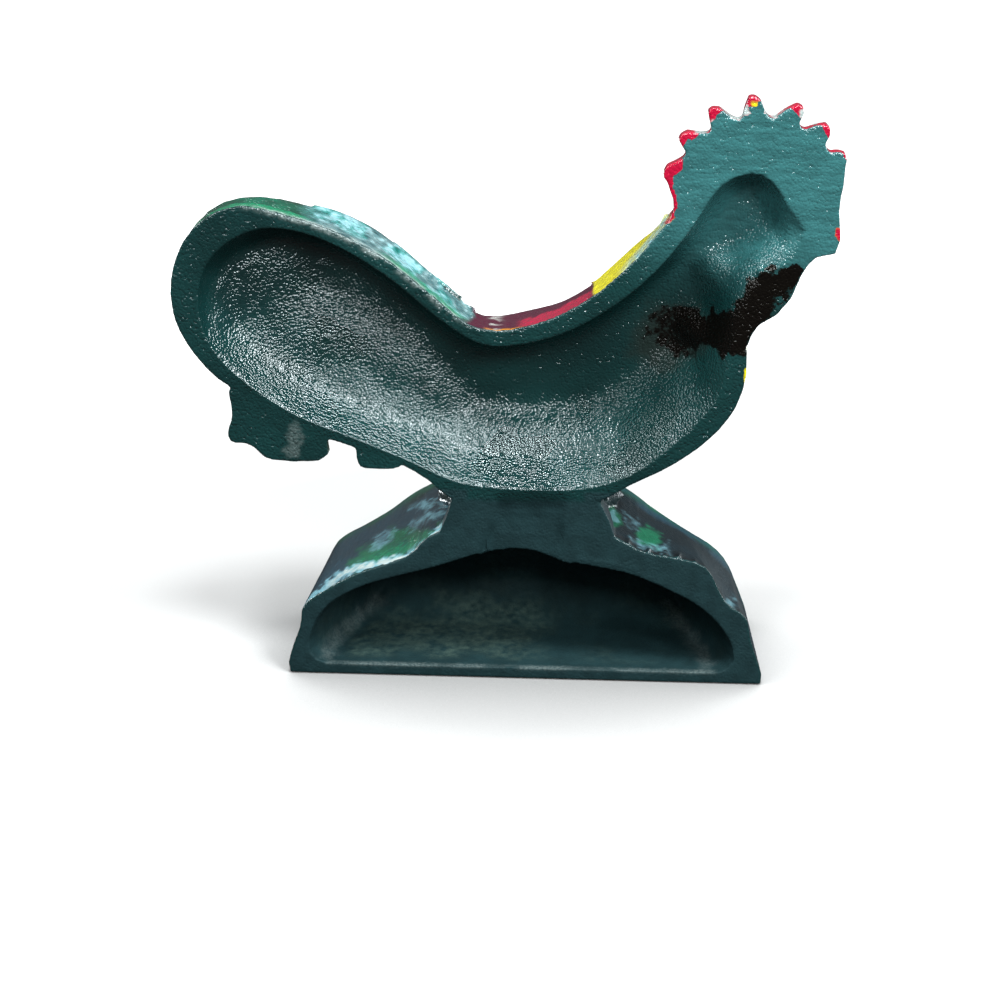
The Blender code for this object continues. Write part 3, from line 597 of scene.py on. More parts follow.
class DOORSTOP_OT_fuse(bpy.types.Operator):
    """Fuses the casting into one closed skin and roughens it as sand does"""
    bl_idname = "doorstop.fuse"
    bl_label = "Fuse the skin"

    def execute(self, context):
        skin = bpy.data.objects[CAST]
        cell = sizes().cell
        finish_with(skin, "REMESH", mode="VOXEL", voxel_size=cell, use_smooth_shade=True)
        finish_with(skin, "DISPLACE", strength=-0.8 * sizes().overlap, mid_level=0.0)
        s = Surface(skin.data)
        back = s.normal[:, 1] < 0.2
        recess_web(s, back)
        soften_pan(s, back)
        round_floor(s)
        skin.data.vertices.foreach_set("co", (s.points * MM).astype(np.float32).ravel())
        finish_with(skin, "SMOOTH", factor=0.5, iterations=4)
        sand = bpy.data.textures.new("sand_lumps", "CLOUDS")
        sand.noise_scale = sizes().sand_size
        sand.noise_depth = 2
        finish_with(skin, "DISPLACE", texture=sand, texture_coords="LOCAL",
                    strength=sizes().sand_depth, mid_level=0.5)
        return {"FINISHED"}


# Painting

# Primes that scatter a cell's place over a table of random values, and the table's length
SCATTER, TABLE = (73856093, 19349663, 83492791), 4096


def value_noise(points, size, seed=1):
    """Smooth noise from 0 to 1 with features of about a size, both in mm."""
    table = np.random.default_rng(seed).random(TABLE)
    cell = points / size
    low = np.floor(cell).astype(np.int64)
    part = cell - low
    part = part * part * (3.0 - 2.0 * part)
    total = np.zeros(len(points))
    for corner in np.ndindex(2, 2, 2):
        key = np.bitwise_xor.reduce((low + corner) * np.array(SCATTER), axis=1)
        weight = np.prod(np.where(corner, part, 1.0 - part), axis=1)
        total += weight * table[key & (TABLE - 1)]
    return total


def ramp(low, high, values):
    """A smooth step from 0 at low to 1 at high."""
    share = np.clip((values - low) / (high - low), 0.0, 1.0)
    return share * share * (3.0 - 2.0 * share)


def from_line(spots, line, closed=False):
    """Each spot's distance from a line of points, and whether a closed line holds it."""
    line = np.array(line, dtype=float)
    away, crossings = np.full(len(spots), 1e9), np.zeros(len(spots), int)
    after = np.roll(line, -1, axis=0)
    for (x1, z1), (x2, z2) in list(zip(line, after))[:None if closed else -1]:
        run = np.array([x2 - x1, z2 - z1])
        offset = spots - (x1, z1)
        t = np.clip(offset @ run / (run @ run), 0.0, 1.0)
        away = np.minimum(away, np.linalg.norm(offset - t[:, None] * run, axis=1))
        straddles = (z1 > spots[:, 1]) != (z2 > spots[:, 1])
        slope = (x2 - x1) / (z2 - z1 if abs(z2 - z1) > 1e-9 else 1e-9)
        crossings += straddles & (spots[:, 0] < x1 + (spots[:, 1] - z1) * slope)
    return away, crossings % 2 == 1


class Surface:
    """The skin's points as arrays, in mm, with what painting needs to know of them."""

    def __init__(self, mesh):
        count = len(mesh.vertices)
        flat = np.empty(count * 3, np.float32)
        mesh.vertices.foreach_get("co", flat)
        self.points = flat.reshape(-1, 3).astype(float) / MM
        mesh.vertex_normals.foreach_get("vector", flat)
        self.normal = flat.reshape(-1, 3).astype(float)
        self.x, self.z = self.points[:, 0], self.points[:, 2]
        self.depth = self.points[:, 1] - BACK_Y / MM
        self.seen = np.stack([self.x + SEEN.x * self.depth, self.z + SEEN.z * self.depth], axis=1)
        ends = np.empty(len(mesh.edges) * 2, np.int32)
        mesh.edges.foreach_get("vertices", ends)
        self.ends = ends.reshape(-1, 2)
        self.degree = np.maximum(np.bincount(ends, minlength=count), 1)

    def spread(self, values, rounds):
        """Values averaged with their neighbours a number of times."""
        a, b = self.ends[:, 0], self.ends[:, 1]
        for _ in range(rounds):
            total = np.bincount(a, values[b], len(values)) + np.bincount(b, values[a], len(values))
            values = 0.5 * values + 0.5 * total / self.degree
        return values

    def raised(self, rounds):
        """Height over the smoothed surface, in mm: ridges above nought, grooves below."""
        smooth = np.stack([self.spread(self.points[:, k], rounds) for k in range(3)], axis=1)
        return ((self.points - smooth) * self.normal).sum(axis=1)

    def ragged(self, size, seed=1):
        """Noise about nought, for the ragged edges of brushed paint."""
        return (value_noise(self.points, size, seed) - 0.5
                + 0.5 * (value_noise(self.points, size * 0.45, seed + 1) - 0.5))

    def dab(self, outline, soft=0.8, rag=1.2, size=2.4, seed=3, grow=0.0):
        """A dab of paint inside an outline on the photographed side, from 0 to 1."""
        low, high = np.min(outline, axis=0) - 3.0, np.max(outline, axis=0) + 3.0
        near = ((self.seen > low) & (self.seen < high)).all(axis=1)
        away, within = from_line(self.seen[near], outline, True)
        mask = np.zeros(len(self.x))
        mask[near] = ramp(-soft, soft, np.where(within, away, -away) + grow
                          + rag * self.ragged(size, seed)[near])
        return mask

    def free(self, tree, leaning=False, only_where=None):
        """1 where nothing lies in front of a point or, leaning, out along its own normal."""
        found = np.zeros(len(self.x))
        # Each ray starts clear of the skin itself
        starts = (self.points + self.normal * 0.6) * MM
        ways = self.normal + (0.0, 0.8, 0.0)
        chosen = range(len(starts)) if only_where is None else np.flatnonzero(only_where)
        for i in chosen:
            if tree.ray_cast(Vector(starts[i]), Vector(ways[i]) if leaning else FRONT)[0] is None:
                found[i] = 1.0
        return found


def brush_on(paint):
    """A brush that lays a named coat over the paint where a mask says."""
    def brush(name, mask):
        share = np.clip(mask, 0.0, 1.0)[:, None]
        paint[:] = paint * (1.0 - share) + coat(name) * share
    return brush


def bird_coat(s, brush, ridge, groove):
    """The front's colours from tail to comb, as linear RGB for each point."""
    soft, fine = s.ragged(7.0, 5), s.ragged(2.0, 9)
    x, z, depth = s.x, s.z, s.depth
    # Scarlet on the raised feathers: a painted highlight
    brush("scarlet", 0.6 * ridge * ramp(10, 50, x))

    # Tail: emerald by the rim, dark green above it, mottled blue at the saddle's end
    tail = ramp(1.5, -1.5, x + 15.0 + 0.25 * (z - 100.0) + 4.0 * soft)
    top = ramp(0.25, 0.5, s.normal[:, 2]) * ramp(24, 22, depth)
    brush("bottle", tail)
    # Emerald and turquoise on the tail's ridges: a painted highlight, with emerald also in random patches
    brush("emerald", tail * (0.8 * ridge + 0.25 * ramp(0.0, 0.4, soft)))
    brush("turquoise", tail * ridge * ramp(-0.05, 0.25, soft) * 0.5)
    brush("emerald", tail * top * ramp(5.0, 3.8, depth + 1.2 * fine) * ramp(-58, -64, x))
    mottle = tail * top * ramp(-66, -57, x + 3.0 * soft)
    brush("turquoise", mottle * (0.7 + 0.9 * fine))
    brush("slate", mottle * ramp(0.0, 0.2, -soft) * 0.7)
    brush("ice", mottle * ramp(4, 7, depth) * ramp(-0.1, 0.25, fine + 0.7 * soft) * 0.7)
    brush("scuff", mottle * (0.22 + 0.5 * fine))
    brush("emerald", mottle * ramp(-44, -36, x) * ramp(6.0, 3.5, depth + 3.0 * fine)
        * (0.9 + 0.8 * fine))
    edge = tail * top * ramp(-84, -74, x) * ramp(-14, -24, x)
    brush("scuff", edge * ramp(3.4, 1.2, depth + 2.6 * fine) * (0.5 + 1.6 * fine))

    # Saddle: dark above, a bright band along its lower edge
    saddle = ramp(-13, -10.5, x + 2 * soft) * ramp(103, 107, z) * ramp(20, 17, x + 2 * soft)
    brush("maroon", saddle)
    brush("rose", saddle * ramp(9.5, 7.0, depth + 3.0 * fine) * ramp(-4, 0, x))
    brush("orange", saddle * ramp(2.2, 1.4, depth + fine) * ramp(0, -4, x))
    brush("white", saddle * ramp(-6, -11, x) * ramp(0.0, 0.3, fine) * 0.7)

    # Neck, with a pale mottle next to the rim
    rise = np.interp(x, (12.0, 17.6, 23.0, 32.0, 43.0, 54.0, 70.0),
                     (133.0, 122.5, 113.0, 105.2, 100.8, 99.2, 99.0))
    hackle = ramp(-1.2, 1.2, z - rise + 2.5 * soft) * ramp(12, 16, x)
    brush("yellow", hackle)
    # Orange in the neck feathers' grooves: painted shade
    brush("orange", hackle * groove * 0.85 * ramp(12, 18, depth))
    brush("ice", hackle * ramp(9.0, 5.0, depth + 5.0 * fine - 0.35 * (x - 30.0))
        * ramp(24, 30, x) * ramp(42, 39, x) * (0.6 + 0.8 * fine))

    # Comb, face and wattle; beak and eye ring
    edge = np.interp(x, (36.0, 40.0, 48.5, 54.0, 58.5, 64.0), (144.0, 142.2, 148.5, 141.0, 134.5, 128.5))
    crest = ramp(-0.8, 0.8, z - edge + soft) * ramp(127.5, 129, z) * ramp(34, 36, x)
    lobe = ramp(63.0, 65.0, x) * ramp(108, 110, z) * ramp(131, 129, z)
    # Maroon in the grooves of comb and wattle: painted shade
    for mask in (crest, lobe):
        brush("crimson", mask)
        brush("maroon", mask * groove * 0.6)
    beak = np.hypot((x - 83) / 1.7, z - 138.0)
    brush("orange", ramp(4.2, 3.2, beak) * ramp(76, 78, x))
    eye = np.hypot(x - 75.0, z - 146.5)
    brush("white", ramp(4.3, 3.7, eye) * ramp(5, 7, depth))
    brush("black", ramp(2.5, 2.1, eye) * ramp(5, 7, depth))
    # A white dot beside the pupil: a painted highlight, the eye's catchlight
    brush("white", ramp(0.8, 0.5, np.hypot(x - 75.8, z - 147.4)) * ramp(5, 7, depth))


def wing_coat(s, brush, ridge, groove):
    """The wing's bars, the under-tail feathers and the legs."""
    along = (s.x + 46.0) / 86.0
    tree = solids_tree("wing")[0]
    wing = np.zeros(len(s.x))
    for i in np.flatnonzero((s.z > 72) & (s.z < 105) & (s.x > -50) & (s.x < 44) & (s.depth > 16)):
        wing[i] = tree.find_nearest(Vector(s.points[i] * MM), 1.9 * MM)[0] is not None
    wing = s.spread(wing, 2)
    brush("maroon", wing)
    # Scarlet and turquoise on the wing's ridges are a painted highlight, black in its grooves painted
    # shade
    brush("scarlet", wing * ramp(0.55, 0.62, along) * ridge)
    brush("emerald", wing * ramp(0.52, 0.48, along))
    brush("turquoise", wing * ramp(0.5, 0.46, along) * ridge * 0.6)
    brush("yellow", wing * ramp(0.06, 0.035, np.abs(along - 0.54)))
    brush("black", wing * groove * 0.6)
    legs = ramp(58.5, 57.0, s.z) * ramp(46.5, 47.6, s.z) * ramp(30, 28.5, np.abs(s.x))
    legs *= ramp(9.0, 11.0, s.depth) * ramp(-0.1, 0.2, s.normal[:, 1])
    brush("orange", legs)
    # Yellow on the legs' ridges: a painted highlight
    brush("yellow", legs * ridge * 0.7)


# Paint on the mound's top, drawn on the photographed side
GREEN_PATCHES = (
    [(-53.5, 34.2), (-51.7, 37.7), (-49.6, 41), (-46.6, 41.6), (-41.1, 42.8), (-33.2, 44.1),
     (-29.2, 45.3), (-30.2, 43.1), (-33.7, 40.9), (-38.2, 38.9), (-43.2, 37.7), (-48.3, 36.2)],
    [(-41.6, 43.9), (-40.1, 47.1), (-36.1, 48), (-31.2, 47.4), (-26.2, 48), (-24.2, 50.2),
     (-25.2, 47.5), (-28.2, 45.3), (-33.2, 44.4), (-38.1, 43.7)],
)
PALE_STROKES = (
    [(-47.1, 41.3), (-44.6, 45.4), (-40.1, 47.1), (-41.6, 43.9), (-44.2, 41.4)],
    [(-34.8, 39), (-31.2, 44.2), (-27.7, 45.3), (-25.2, 47.5), (-23.2, 50.2), (-24.3, 47),
     (-29.2, 42.8), (-32.3, 40.6)],
    [(-36.6, 48), (-29.6, 52.7), (-22.7, 54.6), (-22.4, 52.9), (-29.1, 51.1), (-35.1, 47.3)],
    [(-36.4, 55.4), (-34.5, 56.5), (-26.1, 57.4), (-24.2, 56), (-30, 56), (-36, 54.2)],
    [(-32.9, 59), (-29.1, 54.5), (-27.6, 52.2), (-28.6, 52), (-30.6, 54.5), (-33.8, 57.9)],
)
MOUND_RIM = [(-67.5, 21.5), (-64.1, 24.8), (-60.5, 27.7), (-56.9, 31.6), (-53.3, 33.6),
             (-49.3, 35.4), (-43.3, 36.8), (-38.3, 38.1), (-34.3, 39), (-32.2, 40.9),
             (-29.2, 43.1), (-25.7, 47), (-23.2, 49.7), (-21.7, 52.4), (-21.2, 56.1)]
GREEN_KNOB = [(22, 56.1), (24.2, 58.2), (26.6, 57.9), (28.4, 54.6), (29, 51.3), (26.8, 50.6),
              (24.3, 52.2), (22.4, 54)]
# A painted highlight on the green knob
KNOB_HIGHLIGHT = [(24.7, 54.5), (27.1, 55.1), (28.2, 52), (26.2, 51.6)]
GREEN_TUFT = [(33.8, 48.2), (37.3, 49.8), (40.7, 47.5), (39.6, 44.8), (36.7, 45.1), (34.5, 46.1)]
PALE_TUFTS = (
    [(31.7, 46.2), (35.2, 45.5), (38.6, 44.5), (43.3, 45.2), (42.1, 42.2), (38.7, 43),
     (34.7, 43.5)],
    [(29.6, 54.7), (34.5, 52.7), (34.1, 49.5), (30.2, 51.3)],
    [(58.3, 27.5), (63.3, 27.5), (63.6, 25.5), (59.9, 25.6)],
)
BLUE_CHIP = [(-67.8, 16.2), (-67.5, 12), (-69.3, 7.5), (-71.7, 4.6), (-70.7, 8.5)]


def ground_coat(s, brush, ridge, groove):
    """The mound: blue-grey ground with brushed grass, and pale tips and a painted highlight along the
    rim.
    """
    soft, fine = s.ragged(6.0, 21), s.ragged(1.8, 23)
    toes = ramp(0.3, 0.9, s.z - 47.7) * ramp(31, 29, np.abs(s.x))
    ground = ramp(58.5, 57.5, s.z) * (1.0 - toes) * np.maximum(ramp(47.9, 47.2, s.z), ramp(9, 7, s.depth))
    brush("navy", ramp(62, 61, s.z) * ramp(0.4, 0.2, s.normal[:, 1])
        * ramp(17, 19, np.abs(s.x)))
    brush("slate", ground)
    brush("navy", ground * ramp(-0.05, 0.25, soft))
    face = ground * ramp(36, 44, s.depth)
    # Grass laid thickest on the blades' ridges and ice on them are a painted highlight; navy in the
    # grooves is painted shade
    brush("grass", face * np.clip(0.35 + ridge + soft, 0.0, 1.0))
    brush("bottle", face * ramp(14, 4, s.z + 6 * soft) * 0.7)
    brush("navy", face * groove * 0.7)
    brush("ice", face * ridge * ramp(0.12, 0.3, soft) * 0.6)
    # The top, as the photograph shows it from behind
    top = ground * ramp(0.25, 0.45, s.normal[:, 2]) * ramp(38, 30, s.depth)
    left, right = top * ramp(-18, -20, s.x), top * ramp(18, 20, s.x)
    brush("slate", left * (0.75 + 0.5 * soft))
    for k, patch in enumerate(GREEN_PATCHES):
        brush("grass", left * s.dab(patch, 1.0, 3.4, 2.2, 31 + k, 0.6) * (0.9 + 0.6 * fine))
    for k, stroke in enumerate(PALE_STROKES):
        brush("ice", left * s.dab(stroke, 1.0, 2.4, 1.8, 35 + k, 0.3) * (0.5 + 0.6 * fine))
    rim = from_line(s.seen, MOUND_RIM)[0]
    broken = s.ragged(1.6, 29)
    near_rim = left * ramp(-22, -24, s.x)
    # Ice and white along the rim's edge: pale grass tips, and a painted highlight on the edge itself
    brush("ice", near_rim * ramp(1.7, 0.7, rim + 1.8 * broken) * 0.9)
    brush("white", near_rim * ramp(1.0, 0.3, rim + 1.8 * broken) * ramp(-62, -56, s.x) * 0.8)
    brush("slate", ground * s.dab(BLUE_CHIP, 0.8, 1.2, 1.8, 40, 0.6))
    brush("navy", right * 0.85)
    brush("black", right * np.maximum(0.45, 0.75 * ramp(5.0, 3.0, s.depth + 2.0 * fine)))
    brush("grass", ground * s.dab(GREEN_KNOB, 0.5, 1.2, 1.8, 41, 0.4) * 0.7)
    brush("grass", right * s.dab(GREEN_TUFT, 0.9, 2.0, 1.8, 43, 0.6) * 0.8)
    # Ice on the knob: a painted highlight
    brush("ice", right * s.dab(KNOB_HIGHLIGHT, 0.6, 1.4, 1.4, 45) * 0.5)
    for k, tuft in enumerate(PALE_TUFTS):
        brush("ice", right * s.dab(tuft, 0.9, 2.6, 1.6, 47 + k, 0.2) * (0.17 + 0.5 * fine))


# Drawn on the photographed side: crimson on the comb's teeth and nape, pale edges between them, partly
# bare and partly a painted highlight, the throat's stain with its thin smear, a rubbed streak under the
# tail, and pale streaks in the base's inner corners that are painted highlights
TOOTH_DABS = (
    [(37, 157.4), (39.7, 158.6), (42.2, 159.2), (42, 157), (39.6, 154.4), (39.4, 152), (41, 146),
     (40.4, 143.2), (38.8, 142), (38.8, 145.5), (37.4, 153)],
    [(40.2, 168), (42.1, 168.8), (46.8, 167.7), (46.4, 166.2), (43.4, 165.4), (41.4, 162.8),
     (40.2, 165)],
    [(48.4, 169), (48.5, 173.1), (49.9, 174.7), (52.8, 175), (53.6, 173.6), (50.6, 172.4),
     (49.6, 170)],
    [(58.7, 174), (59.3, 177), (60.4, 178.4), (62, 178.2), (63.8, 176.4), (61, 175.2)],
    [(70.7, 176.7), (72.6, 177.5), (74.1, 176.2), (74.4, 173.8), (73.4, 172.4), (71.4, 174.4)],
    [(77.5, 171.8), (79.6, 172.5), (82.4, 170.4), (83.1, 167.3), (82.1, 165.0), (80.0, 170)],
    [(84.4, 164.2), (86.4, 164.8), (88.2, 162), (87.9, 159.6), (85.6, 162)],
    [(85.5, 140.3), (87.2, 139.6), (86.8, 137.0), (85.8, 138)],
)
# Pale edges on the comb's teeth: partly bare, partly a painted highlight
PALE_EDGES_AND_HIGHLIGHTS = (
    [(45.5, 167.4), (48.8, 169.8), (50, 170), (49, 167.6), (46.9, 166.2)],
    [(52.7, 173.8), (57, 172.2), (59.2, 174), (59.8, 172.2), (57.6, 170.7), (54.6, 171.3)],
    [(64.2, 174.8), (66.2, 172.9), (70.6, 177.3), (71.2, 176), (67, 171.8), (64.6, 172.6)],
    [(74, 173.5), (75.8, 172), (80, 172.2), (78.4, 170.4), (76, 170.2), (74, 171.6)],
)
YELLOW_DABS = ([(61.9, 95.6), (62.1, 99.4), (63.9, 100.6), (64.2, 96.4), (63.2, 93.8)],
               [(60.7, 175.0), (62.2, 175.1), (62.1, 174), (60.9, 174)])
STAIN = [
    (73.5, 130.5), (76, 128.4), (76.6, 126.5), (74, 122.3), (70, 119.3), (69.3, 116.4),
    (65.4, 112.3), (63.6, 107), (62.4, 104.2), (60.4, 103.4), (57.8, 102.1), (56.2, 104.3),
    (53.4, 106.4), (50.4, 107.4), (45.6, 104.8), (43.5, 104), (41.9, 105.8), (39.7, 108.7),
    (34.2, 110.7), (33.2, 113.4), (34.7, 116.4), (37.4, 118.8), (40.2, 120.4), (43, 120.5),
    (48.8, 116.8), (51.5, 115.4), (54.3, 116.9), (57.2, 117.1), (59.5, 118.8), (60.2, 122.1),
    (62.2, 125.7), (67.8, 128.8),
]
SMEAR = [(31, 105), (32, 113), (38, 120.5), (49, 118.5), (53, 108), (46, 101.5), (38, 100)]
PLATE_SMEAR = [(-69, 80), (-66.5, 80), (-64.5, 69.5), (-69.5, 69.5)]
# Pale streaks in the base's inner corners: painted highlights
CORNER_HIGHLIGHTS = ([(-62.3, 5.4), (-59, 12.2), (-49.6, 22.5), (-41.5, 26.5), (-40.5, 24.9), (-47.7, 19.2),
            (-56, 10.1), (-59.2, 4.4)],
           [(44.6, 25), (48.6, 22.9), (53.9, 15.4), (57.7, 5.5), (55.3, 4.3), (50.5, 12),
            (46.2, 20.7)])
DUST = [(-52, 14.7), (-31.5, 22), (-11.5, 24), (4, 21), (10, 14.1), (-3.5, 8.5), (-31.8, 4.5),
        (-52, 4)]


def keep(mesh, name, kind, key, values):
    """Keeps values of the skin's points as an attribute of that name."""
    data = mesh.attributes.new(name, kind, "POINT").data
    data.foreach_set(key, values.astype(np.float32).ravel())


class DOORSTOP_OT_paint(bpy.types.Operator):
    """Works out where each coat lies and keeps it on the skin's points"""
    bl_idname = "doorstop.paint"
    bl_label = "Paint"

    def execute(self, context):
        skin = bpy.data.objects[CAST]
        mesh = skin.data
        s = Surface(mesh)
        tree = BVHTree.FromObject(skin, context.evaluated_depsgraph_get())
        # Outside: nothing lies in front of it or, where it faces up, out along its normal
        upward = (s.normal[:, 2] > 0.1) & (s.normal[:, 1] > -0.5)
        outside = s.spread(np.maximum(s.free(tree), s.free(tree, True, upward)), 2)
        outside = np.maximum(outside, ramp(0.25, 0.5, s.normal[:, 1]))
        fine = s.ragged(1.3, 31)
        legs = ramp(60.0, 58.5, s.z) * ramp(24.0, 22.0, np.abs(s.x)) * ramp(9.0, 7.0, s.depth)
        front = outside * ramp(0.4, 1.1, s.depth + 0.9 * fine) * (1.0 - legs)
        height = s.raised(10)
        # ridge lays lighter colours on the relief's raised parts, a painted highlight; groove lays darker
        # ones in its grooves, painted shade
        ridge, groove = ramp(-0.05, 0.4, height), ramp(-0.08, -0.4, height)
        paint = np.tile(coat("maroon"), (len(s.x), 1))
        brush = brush_on(paint)
        bird_coat(s, brush, ridge, groove)
        wing_coat(s, brush, ridge, groove)
        ground_coat(s, brush, ridge, groove)

        # Front paint that wraps onto the back, and pale edges on the comb, partly bare and partly a
        # painted highlight
        hidden = 1.0 - outside
        near = ramp(6.0, 4.0, s.depth)
        for outlines, colour, rag, grow in ((TOOTH_DABS, "crimson", 1.0, 0.55),
                                            (PALE_EDGES_AND_HIGHLIGHTS, "scuff", 1.4, 0.2),
                                            (YELLOW_DABS, "yellow", 0.6, 0.2)):
            wrap = near * np.maximum.reduce([s.dab(o, 0.3, rag, 1.5, 81, grow) for o in outlines])
            brush(colour, wrap)
            front = np.maximum(front, wrap)

        # Where the thick dark coat gives way to a thin one, and where it is dull
        thin = ramp(118, 146, s.seen[:, 1] + 0.25 * (s.seen[:, 0] - 50) + 5 * s.ragged(9.0, 41)) \
            * ramp(20, 34, s.x)
        base = ramp(59.5, 57.0, s.seen[:, 1] + 1.2 * fine) * ramp(63.0, 61.6, s.z)
        base = np.maximum(base, ramp(60.5, 59.0, s.z) * ramp(1.0, 2.0, s.depth))
        stain = s.dab(STAIN, 2.4, 4.0, 2.2, 51, 0.4) * hidden
        stain *= np.interp(s.seen[:, 0], (35.0, 54.0), (0.42, 1.0))
        smear = s.dab(SMEAR, 4.0, 4.0, 2.6, 53) * hidden
        # Wear and painted highlights: a rubbed streak under the tail, pale streaks in the base's inner
        # corners that are painted highlights, the back lip of the base's floor, worn and with a painted
        # highlight, raised edges, the tail's rim
        smear_and_streak_highlights = np.maximum.reduce([s.dab(o, 1.8, 3.0, 2.6, 57) for o in CORNER_HIGHLIGHTS]) * hidden
        smear_and_streak_highlights = np.maximum(smear_and_streak_highlights * 0.16, s.dab(PLATE_SMEAR, 1.0, 3.4, 2.4, 59) * 0.28)
        # The floor's back lip: pale wear and a painted highlight along its edge
        lip_wear_and_highlight = ramp(4.3, 3.6, s.z) * ramp(2.6, 3.1, s.z) * ramp(2.2, 1.2, s.depth) \
            * ramp(60, 58, np.abs(s.x + 1.5)) * ramp(-0.5, 0.2, s.ragged(5.0, 63))
        edge = ramp(0.10, 0.42, s.raised(6)) * ramp(0.15, -0.1, s.ragged(3.0, 61))
        edge *= (1.0 - 0.8 * base) * (1.0 - 0.8 * ramp(148, 152, s.z))
        rubbed = hidden * ramp(0.05, 0.3, s.spread(outside, 30)) * ramp(-82, -72, s.x) \
            * ramp(-14, -30, s.x) * ramp(95, 100, s.z) * ramp(-0.25, 0.2, s.ragged(1.8, 67))
        # The mound's ground is less pebbled, and dull on its right and beside the legs
        ground = ramp(60.5, 58.5, s.z) * outside
        coarse = np.clip(1.0 - 0.3 * thin - 0.6 * np.maximum(base, ground), 0.2, 1.0)
        # Dust on the floor of the base's hollow
        dusty = base * hidden * ramp(3.0, 8.0, s.depth)
        dusty *= 0.25 * ramp(-0.2, 0.3, s.ragged(11.0, 71)) + 0.75 * s.dab(DUST, 4.0, 10.0, 9.0, 73)
        shaded = 0.7 * ground * ramp(18.0, 20.0, s.x) * ramp(0.2, 0.4, s.normal[:, 2])
        notch = ramp(46, 48, s.z) * ramp(61.5, 60.5, s.z) * ramp(22, 16, s.depth) \
            * ramp(16, 18, np.abs(s.x)) * ramp(34, 31, np.abs(s.x))
        dull = np.maximum.reduce([base * hidden, shaded, 0.9 * notch])
        # The kinds of wear and painted highlight, each with how strongly it shows
        wear = [edge * 0.5, smear_and_streak_highlights, lip_wear_and_highlight * 0.3, rubbed * 0.8]
        masks = {"front": front, "thin": thin, "matt": dull, "stain": stain,
                 "smear": smear, "coarse": coarse, "dusty": dusty,
                 "worn": np.maximum.reduce(wear)}
        for name, values in masks.items():
            keep(mesh, name, "FLOAT", "value", values)
        colours = np.concatenate([paint, np.ones((len(paint), 1))], axis=1)
        keep(mesh, "coat", "FLOAT_COLOR", "color", colours)
        keep(mesh, "skin_normal", "FLOAT_VECTOR", "vector", s.normal)
        return {"FINISHED"}


# Materials

# Spacing in mm of the patterns in the enamel: the sand's grains, their speckle, its lumps, the
# brush's strokes, and the back's clouds and patina
PEBBLE, GRAIN, LUMP, STROKE, CLOUD, PATINA = 0.75, 0.8, 2.2, 1.3, 24.0, 6.0
# Height of the grains, strokes and lumps in the enamel's gloss
PEBBLE_BUMP, STROKE_BUMP, LUMP_BUMP = 0.27 * MM, 0.1 * MM, 0.09 * MM
ENAMEL = "gloss_enamel_on_iron_"


def per_mm(size):
    """A noise scale for features of a size in mm, on coordinates in metres."""
    return 1.0 / (size * MM)


def tune(node, **settings):
    """Sets a node's own settings, or the values of its input sockets, by name."""
    for key, value in settings.items():
        if hasattr(node, key):
            setattr(node, key, value)
        else:
            node.inputs[key.replace("_", " ")].default_value = value


def add(tree, kind, links=(), **settings):
    """Adds a node with its settings, and links sockets into its inputs."""
    node = tree.nodes.new(kind)
    tune(node, **settings)
    for name, source in dict(links).items():
        tree.links.new(source, node.inputs[name])
    return node


def principled(name):
    """A new material, with its node tree and its shader."""
    material = bpy.data.materials.new(name)
    material.use_nodes = True
    return material, material.node_tree, material.node_tree.nodes["Principled BSDF"]


def attribute(tree, name, output="Fac"):
    """The socket that gives an attribute of the skin."""
    return add(tree, "ShaderNodeAttribute", attribute_name=name).outputs[output]


def blend(tree, low, high, amount):
    """Mixes two colours, each a socket or a plain colour."""
    node = add(tree, "ShaderNodeMix", data_type="RGBA", links={0: amount})
    for socket, colour in ((6, low), (7, high)):
        if isinstance(colour, bpy.types.NodeSocket):
            tree.links.new(colour, node.inputs[socket])
        else:
            node.inputs[socket].default_value = (*colour, 1.0)
    return node.outputs[2]


def sums(tree, operation, first, second):
    """Works out one number from two, each a socket or a plain number."""
    node = add(tree, "ShaderNodeMath", operation=operation)
    for socket, value in ((0, first), (1, second)):
        if isinstance(value, bpy.types.NodeSocket):
            tree.links.new(value, node.inputs[socket])
        else:
            node.inputs[socket].default_value = value
    return node.outputs[0]


def times(tree, first, second):
    """The product of two numbers, each a socket or a plain number."""
    return sums(tree, "MULTIPLY", first, second)


def about_nought(tree, pattern):
    """A pattern from 0 to 1, moved to lie about nought."""
    return sums(tree, "SUBTRACT", pattern, 0.5)


def stepped(tree, value, low, high, start=0.0, end=1.0):
    """Maps a socket's range to another, clamped."""
    return add(tree, "ShaderNodeMapRange", links={"Value": value}, From_Min=low, From_Max=high,
               To_Min=start, To_Max=end).outputs[0]


